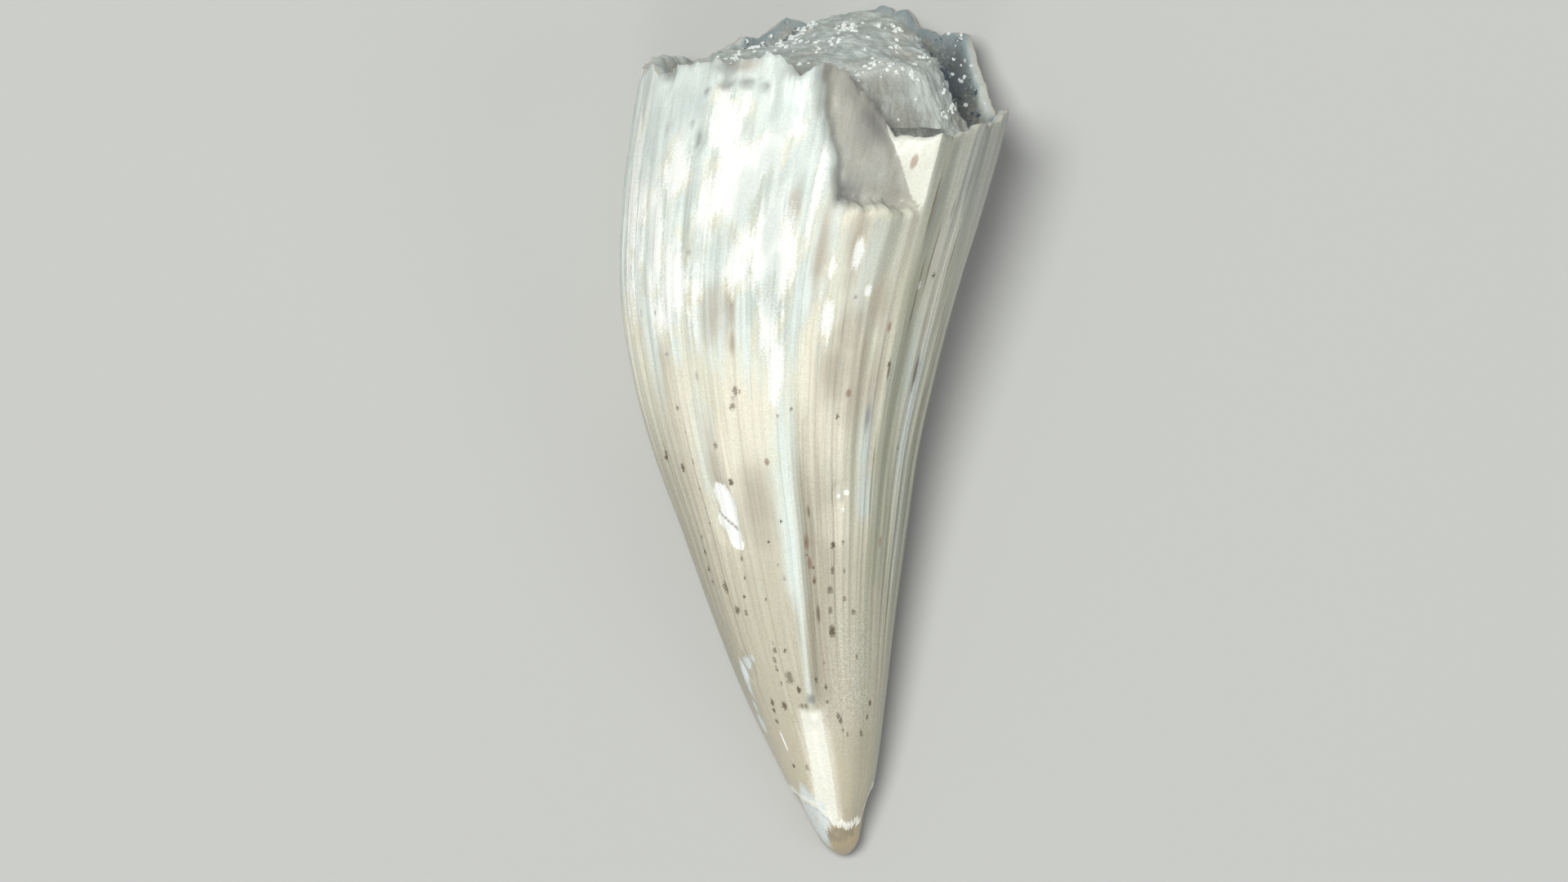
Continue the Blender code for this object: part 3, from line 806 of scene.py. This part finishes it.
def fillTree():
    tree, given, out = shapeTree("fillRelief", fillSizes)
    place = inMillimetres(addNode("GeometryNodeInputPosition").outputs[0])
    inner = rising(fieldIn("rim"), 0.9, 1.0, 1.0, 0.3)
    lumps = times(swayIn(place, given["Lump Size"], 3.0), given["Lump Depth"])
    grains = times(swayIn(place, given["Grain Size"], 4.0, 0.65), given["Grain Depth"])
    cells = cellsIn(place, given["Facet Size"])["Distance"]
    facets = times(rising(cells, 0.1, 0.7, 0.5, -0.5), given["Facet Depth"])
    facets = times(facets, plus(fieldIn("bays"), 0.12))
    layers = swayIn(stretched(place, vectorOf(1.6, given["Layer Count"], 1.6)), 1.0, 3.0)
    layers = times(layers, given["Layer Depth"], fieldIn("belowLedge"))
    lifted = times(plus(lumps, grains, facets, layers), inner)
    noises = rockNoises(place)
    sugar = rising(cellsIn(place, given["Sugar Size"])["Distance"], 0.36, 0.2)
    noises["sugar"] = times(sugar, rising(noises["rockMiddle"], 0.52, 0.62))
    endShape(shifted(keptOn(given["Geometry"], noises), lifted), given["Material"], out)
    return tree


# Crystals that stand on the fill and on the inside of the wall

crystalSpec = dict(
    white={"Density": 900.0, "Smallest": 0.006, "Largest": 0.025, "Uneven": 0.6, "Sunk": 0.25},  # per mm2, mm
    dark={"Density": 460.0, "Smallest": 0.009, "Largest": 0.027, "Uneven": 0.75, "Sunk": 0.35},
    scattered=0.012, onWall=0.6,  # shares of the density: between the mapped grains, and on the wall
)


def crystalTree():
    tree, given, out = shapeTree("crystalGrains", crystalSpec["white"])
    density = times(given["Density"], 1e6, fieldIn("crystalMask"))  # to the square metre
    spread = addNode("GeometryNodeDistributePointsOnFaces", {
        "Mesh": given["Geometry"], "Density": density, "Seed": seed,
    })
    ball = addNode("GeometryNodeMeshIcoSphere", {"Radius": 1.0, "Subdivisions": 2}).outputs[0]
    spot = addNode("GeometryNodeInputPosition").outputs[0]
    cell = cellsIn(spot, 1.1)["Color"]
    push = addNode("ShaderNodeVectorMath", {0: cell, 1: (0.5, 0.5, 0.5)}, operation="SUBTRACT").outputs[0]
    grain = moved(ball, scaled(push, given["Uneven"]))
    turned = addNode("FunctionNodeRandomValue", {
        0: (0.0, 0.0, 0.0), 1: (6.28, 6.28, 6.28), "Seed": seed + 1,
    }, data_type="FLOAT_VECTOR").outputs[0]
    size = addNode("FunctionNodeRandomValue", {
        2: times(given["Smallest"], mm), 3: times(given["Largest"], mm), "Seed": seed + 2,
    }, data_type="FLOAT").outputs[1]
    down = scaled(spread.outputs["Normal"], times(size, given["Sunk"], -1.0))
    points = moved(spread.outputs["Points"], down)
    placedGrains = addNode("GeometryNodeInstanceOnPoints", {
        "Points": points, "Instance": grain, "Rotation": turned, "Scale": size,
    }).outputs[0]
    endShape(placedGrains, given["Material"], out)
    return tree


# Shading groups shared by the materials

mineralTones = dict(
    greyGreen=(0.375, 0.42, 0.40), paleGreen=(0.59, 0.65, 0.625), brown=(0.41, 0.37, 0.30),
    veil=(0.72, 0.77, 0.74), fleck=(0.055, 0.072, 0.085), sugar=(0.86, 0.89, 0.86),
)


def mineralGroup():
    # grey-green and brown mineral with pale veils, sugary white grains and dark flecks
    tones = mineralTones
    tree, given, out = newGroup("mineralLook", "ShaderNodeTree", {
        "Place": ("Vector", None), "Broad": ("Float", 0.5), "Middle": ("Float", 0.5), "Sugar": ("Float", 0.0),
        "Pale": ("Float", 0.5), "Brown": ("Float", 0.3), "Dark": ("Float", 0.0),
    }, {"Color": "Color", "Roughness": "Float", "Height": "Float"})
    fine = noiseIn(given["Place"], 34.0, 3.0, 0.6)
    sugar = times(given["Sugar"], given["Pale"])
    colour = blend(rising(given["Middle"], 0.36, 0.64), tones["greyGreen"], tones["paleGreen"])
    colour = layered(colour, tones, (
        ("brown", rising(plus(given["Broad"], given["Brown"]), 0.62, 0.95), 0.75),
        ("veil", rising(plus(given["Middle"], times(given["Pale"], 0.3)), 0.62, 0.8), 0.55),
        ("fleck", rising(plus(fine, times(given["Dark"], 0.45)), 0.55, 0.85), 0.9, given["Dark"]),
        ("sugar", sugar),
    ))
    join(colour, out["Color"])
    join(rising(fine, 0.3, 0.7, 0.42, 0.7), out["Roughness"])
    join(plus(times(fine, 0.9), times(sugar, 0.3)), out["Height"])
    return tree


def fineGrainGroup():
    tree, given, out = newGroup("fineGrain", "ShaderNodeTree", {
        "Place": ("Vector", None), "Scale": ("Float", 60.0),
    }, {"Shade": "Float", "Height": "Float"})
    fine = noiseIn(given["Place"], given["Scale"], 3.0, 0.6)
    join(rising(fine, 0.3, 0.7, 0.92, 1.06), out["Shade"])
    join(fine, out["Height"])
    return tree


# Materials

def newMaterial(name):
    made = bpy.data.materials.new(name)
    made.use_nodes = True
    building["tree"] = made.node_tree
    return made, made.node_tree.nodes["Principled BSDF"]


def colourSteps(value, stops):
    made = addNode("ShaderNodeValToRGB", {0: value})
    ramp = made.color_ramp
    while len(ramp.elements) < len(stops):
        ramp.elements.new(0.5)
    for element, (place, colour) in zip(ramp.elements, stops):
        element.position = place
        element.color = (*colour, 1)
    return made.outputs[0]


def field(name, output="Fac"):
    return addNode("ShaderNodeAttribute", attribute_name=name).outputs[output]


def grouped(group, inputs):
    return addNode("ShaderNodeGroup", inputs, node_tree=group).outputs


def placeAndGrain(fineGrain, scale):
    place = inMillimetres(addNode("ShaderNodeTexCoord").outputs["Object"])
    return place, grouped(fineGrain, {"Place": place, "Scale": scale})


def endMaterial(shader, colour, fine, height, distance, others):
    # the fine grain shades the colour, and the height becomes a bump of so many millimetres
    bump = addNode("ShaderNodeBump", {"Height": height, "Distance": distance * mm, "Strength": 1.0})
    shaded = blend(1.0, colour, fine["Shade"], "MULTIPLY")
    setInputs(shader, {"Base Color": shaded, "Normal": bump.outputs[0], **others})


enamelSpec = dict(
    alongColours=(  # share of the length from the tip, colour
        (0.00, (0.42, 0.36, 0.24)), (0.07, (0.57, 0.52, 0.39)), (0.20, (0.58, 0.54, 0.42)),
        (0.33, (0.62, 0.59, 0.46)), (0.44, (0.73, 0.71, 0.57)), (0.54, (0.80, 0.785, 0.64)),
        (0.72, (0.77, 0.775, 0.67)), (1.00, (0.62, 0.64, 0.58)),
    ),
    # the grey of the side here and the cool grey on the next line are partly painted shade on the right flank
    tan=(0.56, 0.49, 0.38), pale=(0.90, 0.89, 0.79), greyAndShadedSide=(0.33, 0.337, 0.255),
    coolGreyAndShade=(0.27, 0.305, 0.31), creamTone=(0.88, 0.84, 0.69), coolTone=(0.70, 0.765, 0.73),
    # the cool streak and blue-white tones here, and the white on the next line, paint the pale upper left:
    # bleached enamel and a painted glare
    brownStreak=(0.27, 0.22, 0.14), coolStreak=(0.47, 0.53, 0.50), blueWhite=(0.80, 0.875, 0.845),
    veil=(0.55, 0.62, 0.60), white=(0.95, 0.96, 0.92), halo=(0.80, 0.70, 0.47), stain=(0.50, 0.445, 0.36),
    # the keel tones are a painted highlight and a painted shade
    keelHighlight=(0.83, 0.91, 0.87), keelShade=(0.41, 0.365, 0.285), edgeWear=(0.72, 0.80, 0.83),
    speck=(0.12, 0.085, 0.05), leftShade=(0.43, 0.405, 0.325), rust=(0.33, 0.21, 0.145),
    line=(0.17, 0.135, 0.085), grey=(0.25, 0.255, 0.25), tip=(0.50, 0.41, 0.26),
    # the stripe tone is a painted highlight on the polished stripe
    capShade=(0.28, 0.24, 0.17), tipStep=(0.90, 0.89, 0.80), stripe=(0.93, 0.92, 0.82),
    tornFace=(0.78, 0.78, 0.69), flakeFloor=(0.445, 0.43, 0.38), floorShade=(0.16, 0.16, 0.16),
    sand=(0.66, 0.65, 0.58), wallSkin=(0.60, 0.54, 0.43), wallPale=(0.56, 0.595, 0.56),
    wallSlate=(0.255, 0.31, 0.325), subsurface=0.3, subsurfaceRadius=(1.0, 0.85, 0.65),
    subsurfaceDepth=0.12, coat=0.25, coatRoughness=0.2,
    grainScale=60.0, bump=0.006,
)


def enamelMaterial(mineral, fineGrain):
    spec = enamelSpec
    material, shader = newMaterial("fossilEnamel")
    place, fine = placeAndGrain(fineGrain, spec["grainScale"])
    broad, narrow, cloudy, mottled = (field(name) for name in ("broad", "narrow", "cloudy", "mottled"))
    along, rightFlank, gone, inside = (field(name) for name in ("along", "rightFlank", "gone", "inside"))
    hair = rising(noiseIn(stretched(field("grain", "Vector"), (30.0, 30.0, 0.8)), 1.0, 3.0), 0.33, 0.67)
    shake = plus(cloudy, times(fine["Height"], 0.5), -0.75)

    def brokenMark(name, noise, amount, low=0.44, high=0.58):
        return rising(plus(field(name), times(noise, amount)), low, high)

    def paint(tone, *shares):
        nonlocal colour
        colour = layered(colour, spec, [(tone, *shares)])

    # tones along the tooth and on its flanks
    colour = colourSteps(times(along, 1 / crownSpec["length"]), spec["alongColours"])
    paint("tan", narrow, rising(cloudy, 0.35, 0.6, 0.15, 0.45))
    paint("pale", broad, hair, rising(along, 1.5, 3.3), 0.5)
    paint("creamTone", brokenMark("creamTone", shake, 0.7, 0.25, 0.75), 0.8)
    paint("coolTone", brokenMark("coolTone", shake, 0.7, 0.25, 0.7), rising(narrow, 0.1, 0.8, 0.35, 0.9))
    # the right flank painted greyer and darker: its own grey tone and painted shade, most at the upper right
    paint("greyAndShadedSide", rightFlank, rising(plus(broad, times(narrow, 0.8)), 0.1, 1.4, 1.0, 0.15),
          rising(along, 1.2, 3.4, 0.4, 1.0))
    paint("greyAndShadedSide", rightFlank, rising(broad, 0.85, 0.15, 0.3, 1.0), rising(along, 3.4, 5.4, 0.32, 0.62))
    paint("coolGreyAndShade", rightFlank, rising(along, 4.7, 5.6), rising(narrow, 0.0, 0.9, 0.5, 0.15))
    paint("leftShade", field("leftShade"), rising(plus(narrow, broad), 0.2, 1.5, 1.0, 0.75))
    paint("sand", rising(fine["Height"], 0.40, 0.62), field("sand"), 0.75)
    wave = addNode("ShaderNodeSeparateXYZ", {0: field("fluteWave", "Vector")}).outputs[0]
    inGroove = times(rising(wave, 0.2, 1.0), rising(along, 1.6, 3.0))
    paint("brownStreak", inGroove, rising(narrow, 0.35, 1.0), plus(times(rightFlank, 0.28), 0.07))
    paint("brownStreak", rising(hair, 0.7, 1.0), rising(along, 1.5, 2.6), rising(rightFlank, 0.0, 1.0, 0.16, 0.08))

    # bleached enamel under a painted glare, stains, and the keel with its painted highlight and shade
    high = rising(along, 4.9, 5.8)  # streaks lower down, clouds nearer the broken edge
    streaked = plus(times(mottled, 0.9), times(narrow, 0.35), -0.62)
    # bleached enamel and a painted glare on the upper left
    whitenedAndGlare = rising(plus(field("whitenedAndGlare"), times(streaked, 1.3)), 0.30, 0.85)
    veined = plus(times(mottled, 1.3), times(hair, rising(high, 0.0, 1.0, 0.4, 0.15)),
                  times(narrow, faded(high, 0.35)), times(high, cloudy, 0.8))
    cool = blend(rising(veined, 0.75, 1.6), spec["coolStreak"], spec["blueWhite"])
    colour = blend(times(whitenedAndGlare, 0.86), colour, cool)
    paint("stain", brokenMark("stains", shake, 0.8, 0.12, 0.95), rising(narrow, 0.0, 0.8, 0.95, 0.6))
    # painted shade beside the keel, and a painted highlight along its left flank
    paint("keelShade", field("keelShade"), rising(plus(hair, narrow), 0.2, 1.6, 0.5, 0.95))
    paint("keelHighlight", field("keelHighlight"), rising(plus(cloudy, times(hair, 0.25)), 0.35, 0.62, 0.55, 0.95))

    # single marks and specks
    shakeMottled = plus(mottled, times(fine["Height"], 0.3), times(hair, 0.12), -0.71)
    paint("halo", brokenMark("bleachAndGlare", shakeMottled, 1.2, 0.22, 0.42), rising(cloudy, 0.42, 0.62), 0.42)
    # white blots: bleached enamel and a painted glare
    blots = brokenMark("bleachAndGlare", shakeMottled, 1.7, 0.36, 0.74)
    paint("white", blots, 0.93)
    paint("veil", brokenMark("veil", shakeMottled, 1.5, 0.22, 0.80), 0.55)
    # grey spots, with painted shade under the front rim and its notch
    spots = brokenMark("greySpots", shakeMottled, 0.8, 0.30, 0.95)
    paint("grey", spots, 0.75)
    # chalky white, and a thin painted highlight line near the tip
    chalkAndGlint = brokenMark("chalkAndGlint", shakeMottled, 0.5, 0.44, 0.52)
    paint("white", chalkAndGlint)
    paint("line", rising(field("hairLine"), 0.4, 0.9, 0.0, 0.7))
    paint("line", brokenMark("darkLines", shake, 0.6, 0.3, 0.8), rising(hair, 0.1, 0.8, 0.35, 0.9))
    rust = brokenMark("rust", shake, 0.5, 0.3, 0.7)
    paint("rust", rust, 0.75)
    ragged = plus(fine["Height"], -0.5)
    specks = times(brokenMark("speck", ragged, 1.6, 0.36, 0.64), rising(gone, 0.1, 0.3, 1.0, 0.0))
    paint("speck", specks, rising(cloudy, 0.35, 0.6, 0.6, 0.92))

    # worn tip
    bare = rising(field("bareTip"), -0.006, 0.012)
    # a painted highlight on the polished stripe, with a softer rim
    stripe = plus(field("stripe"), times(ragged, 0.14))
    top = plus(along, times(ragged, 0.08))
    onStripe = times(rising(along, 0.26, 0.32), rising(top, 1.25, 1.18))
    softEdge = times(rising(stripe, 0.15, 0.5), onStripe, 0.38)
    stripe = times(rising(stripe, 0.42, 0.56), onStripe)
    paint("stripe", larger(times(stripe, 0.92), softEdge))
    paint("tip", bare, rising(mottled, 0.3, 0.6, 0.8, 1.0))
    paint("capShade", bare, brokenMark("capShade", shakeMottled, 0.9, 0.2, 0.75), 0.75)
    paint("edgeWear", brokenMark("edgeWear", shakeMottled, 0.9, 0.3, 0.62), 0.75)
    stepLine = plus(field("bareTip"), times(shakeMottled, 0.07))
    stepLine = times(rising(stepLine, -0.066, -0.036), rising(stepLine, 0.018, 0.004))
    paint("tipStep", stepLine, 0.95)

    # inside of the wall, and the faces that the lost flake left
    rock = grouped(mineral, {
        "Place": place, "Broad": field("rockBroad"), "Middle": field("rockMiddle"), "Pale": 0.1,
        "Brown": 0.36, "Dark": plus(times(field("bays"), 0.9), 0.08),
    })
    slate = plus(times(field("bays"), rising(inside, 0.5, 1.6), -0.43), times(field("slateSide"), -0.24))
    wall = blend(rising(plus(mottled, slate), 0.22, 0.56), spec["wallSlate"], spec["wallPale"])
    skin = blend(rising(plus(inside, times(ragged, 0.5)), 0.10, 0.42), spec["wallSkin"], wall)
    kept, outer = rising(gone, 0.15, 0.5, 1.0, 0.0), rising(inside, 0.6, 0.1)
    colour = blend(times(rising(inside, 0.02, 0.14), kept), colour, skin)
    lost = rising(gone, 0.35, 0.8)
    bared = larger(lost, rising(inside, 0.9, 1.6))
    colour = blend(bared, colour, rock["Color"])
    flakeFloor = times(lost, outer)
    paint("flakeFloor", flakeFloor, rising(mottled, 0.3, 0.65, 0.75, 0.4))
    paint("floorShade", flakeFloor, spots, 0.6)
    tornFace = times(rising(plus(field("torn"), times(shake, 0.5)), 0.35, 0.6), outer)
    paint("tornFace", tornFace, 0.9)
    paint("rust", tornFace, rust, 0.7)

    # gloss and the finest relief
    dull = larger(larger(chalkAndGlint, times(blots, 0.7)), times(whitenedAndGlare, 0.6))
    rough = plus(rising(along, 0.8, 3.4, 0.27, 0.44), times(dull, 0.28), times(narrow, 0.06),
                 times(stripe, -0.10), times(specks, 0.25))
    rough = plus(times(rough, minus(1.0, bared)), times(rock["Roughness"], bared))
    plain = times(faded(field("calm"), 0.2), faded(rightFlank, 0.5))
    lines = times(hair, rising(along, 0.8, 2.6, 0.12, 0.6), minus(1.0, bared), plain)
    endMaterial(shader, colour, fine, plus(lines, times(fine["Height"], 0.8)), spec["bump"], {
        "Roughness": rough, "Coat Weight": spec["coat"], "Coat Roughness": spec["coatRoughness"],
        "Subsurface Weight": spec["subsurface"], "Subsurface Radius": spec["subsurfaceRadius"],
        "Subsurface Scale": spec["subsurfaceDepth"] * mm,
    })
    return material


fillLook = dict(
    # the darkest tone is painted shade on the steep drop under the ledge
    belowLedge=(0.20, 0.22, 0.205), bays=(0.205, 0.265, 0.30), ledge=(0.68, 0.71, 0.66),
    grainScale=90.0, bump=0.008,
)


def fillMaterial(mineral, fineGrain):
    look = fillLook
    material, shader = newMaterial("hardFill")
    place, fine = placeAndGrain(fineGrain, look["grainScale"])
    bays, below, ledge = field("bays"), field("belowLedge"), field("ledge")
    # darker mineral in the bays and towards the rim, with painted shade under the ledge
    dark = plus(rising(bays, 0.15, 0.7), times(below, 0.30), times(field("rim"), 0.35))
    rock = grouped(mineral, {
        "Place": place, "Broad": field("rockBroad"), "Middle": field("rockMiddle"),
        "Sugar": field("sugar"), "Dark": dark, "Pale": plus(times(ledge, 0.9), 0.25),
        "Brown": plus(times(field("brownCore"), 0.45), 0.20),
    })
    # painted shade under the ledge, then the dark bays and the pale ledge
    colour = layered(rock["Color"], look, (
        ("belowLedge", below, 0.4), ("bays", rising(bays, 0.2, 0.8), 0.42), ("ledge", ledge, 0.55),
    ))
    height = plus(rock["Height"], times(fine["Height"], 0.4))
    endMaterial(shader, colour, fine, height, look["bump"], {"Roughness": rock["Roughness"]})
    return material


crystalLooks = dict(  # darkest and palest tone, roughness, clear coat
    white=((0.72, 0.76, 0.75), (0.90, 0.92, 0.90), 0.34, 0.4),
    dark=((0.085, 0.11, 0.125), (0.27, 0.31, 0.325), 0.25, 0.5),
    grainScale=120.0, bump=0.003,
)


def crystalMaterial(kind, fineGrain):
    low, high, roughness, clear = crystalLooks[kind]
    material, shader = newMaterial(kind + "Crystal")
    place, fine = placeAndGrain(fineGrain, crystalLooks["grainScale"])
    colour = blend(rising(noiseIn(place, 11.0, 2.0), 0.35, 0.65), low, high)
    others = {"Roughness": roughness, "Coat Weight": clear}
    endMaterial(shader, colour, fine, fine["Height"], crystalLooks["bump"], others)
    return material


# Build

print("stage: shading")
mineral, fineGrain = mineralGroup(), fineGrainGroup()
enamel = enamelMaterial(mineral, fineGrain)
rock = fillMaterial(mineral, fineGrain)
crystal = {kind: crystalMaterial(kind, fineGrain) for kind in ("white", "dark")}


def crystalsOn(mesh, mask, kind):
    # the mask says how thickly they stand on the mesh
    masked = mesh.copy()
    layer = masked.attributes.new("crystalMask", "FLOAT", "POINT")
    layer.data.foreach_set("value", np.clip(mask, 0, 1).astype(np.float32))
    return shapedBy(grainTree, masked, {**crystalSpec[kind], "Material": crystal[kind]})


def fieldValues(mesh, name):
    values = np.zeros(len(mesh.vertices), np.float32)
    mesh.attributes[name].data.foreach_get("value", values)
    return values


print("stage: crown")
crown = shapedBy(crownTree(), crownMesh(), {**fluteSizes, "Material": enamel})
print("stage: hard fill")
fill = shapedBy(fillTree(), fillMesh(), {**fillSizes, "Material": rock})
print("stage: crystals")
grainTree = crystalTree()
grains, bays, rim = (fieldValues(fill, name) for name in ("grains", "bays", "rim"))
wallBays, depth, middle = (fieldValues(crown, name) for name in ("bays", "inside", "rockMiddle"))
scattered, onWall = crystalSpec["scattered"], crystalSpec["onWall"]
onInner = onWall * np.clip(wallBays - 0.15, 0, 1) * (depth > 1.1)
clumped = onWall * np.clip(wallBays - 0.1, 0, 1) * (depth > 0.7) * ease(0.50, 0.60, middle)
meshes = dict(
    crown=crown, hardFill=fill,
    whiteCrystals=crystalsOn(fill, grains + scattered, "white"),
    darkCrystals=crystalsOn(fill, (bays - 0.25) * (rim < 0.9), "dark"),
    wallGrains=crystalsOn(crown, clumped, "white"),
    wallCrystals=crystalsOn(crown, onInner, "dark"),
)

# The CAD solid is centred on its own box, and so is the crown
points = np.zeros(len(crown.vertices) * 3, np.float32)
crown.vertices.foreach_get("co", points)
points = points.reshape(-1, 3)
low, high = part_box("tooth")
own = (points.min(axis=0) + points.max(axis=0)) / 2
shift = Matrix.Translation(((low.x + high.x) / 2 - float(own[0]), (low.y + high.y) / 2 - float(own[1]), 0))
for name, mesh in meshes.items():
    mesh.transform(shift)
    mesh.name = name
    piece = newObject(name, mesh)
    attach(piece, "root")
    if name in ("crown", "hardFill"):
        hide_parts("tooth")
    print(name, sum(len(face.vertices) - 2 for face in mesh.polygons), "triangles")


# Floor, light and camera

print("stage: floor, light and camera")
stageSpec = dict(
    floorHalf=0.4, floorColour=(0.50, 0.50, 0.49, 1), floorRoughness=0.85,
    world=(0.93, 0.96, 1.0, 1), worldStrength=0.30,
    cameraAt=(-0.000243, -0.00009), focusHeight=0.0013, fieldWidth=0.0128, lens=280.0, sensor=36.0,
    lights=(  # name, place, size, power, colour
        ("keyLight", (-0.06, 0.04, 0.28), 0.12, 0.72, (0.985, 0.997, 0.957)),
        ("fillLight", (0.22, -0.06, 0.22), 0.16, 0.07, (0.95, 0.98, 1.0)),
        ("tipLight", (-0.03, -0.25, 0.17), 0.06, 0.10, (1.0, 0.99, 0.96)),
    ),
)
half = stageSpec["floorHalf"]
floorMesh = bpy.data.meshes.new("floor")
corners = [(-half, -half, 0), (half, -half, 0), (half, half, 0), (-half, half, 0)]
floorMesh.from_pydata(corners, [], [(0, 1, 2, 3)])
paleFloor, floorShader = newMaterial("paleFloor")
setInputs(floorShader, {"Base Color": stageSpec["floorColour"], "Roughness": stageSpec["floorRoughness"]})
floorMesh.materials.append(paleFloor)
floor = newObject("floor", floorMesh)
floor.location.z = -0.004 * mm  # about the depth of the relief under the tooth

for name, place, size, power, colour in stageSpec["lights"]:
    lamp = bpy.data.lights.new(name, "AREA")
    lamp.shape, lamp.size, lamp.energy, lamp.color = "DISK", size, power, colour
    holder = newObject(name, lamp)
    holder.location = place
    holder.rotation_mode = "QUATERNION"
    holder.rotation_quaternion = (-holder.location).to_track_quat("-Z", "Y")
    holder.visible_camera = False

world = bpy.data.worlds.new("softRoom")
world.use_nodes = True
sky = {"Color": stageSpec["world"], "Strength": stageSpec["worldStrength"]}
setInputs(world.node_tree.nodes["Background"], sky)
bpy.context.scene.world = world
bpy.context.scene.view_settings.view_transform = "Standard"

lens = bpy.data.cameras.new("camera")
lens.lens, lens.sensor_width = stageSpec["lens"], stageSpec["sensor"]
away = stageSpec["fieldWidth"] * stageSpec["lens"] / stageSpec["sensor"]
lens.clip_start, lens.clip_end = 0.002, 2.0
camera = newObject("camera", lens)
camera.location = (*stageSpec["cameraAt"], stageSpec["focusHeight"] + away)
bpy.context.scene.camera = camera
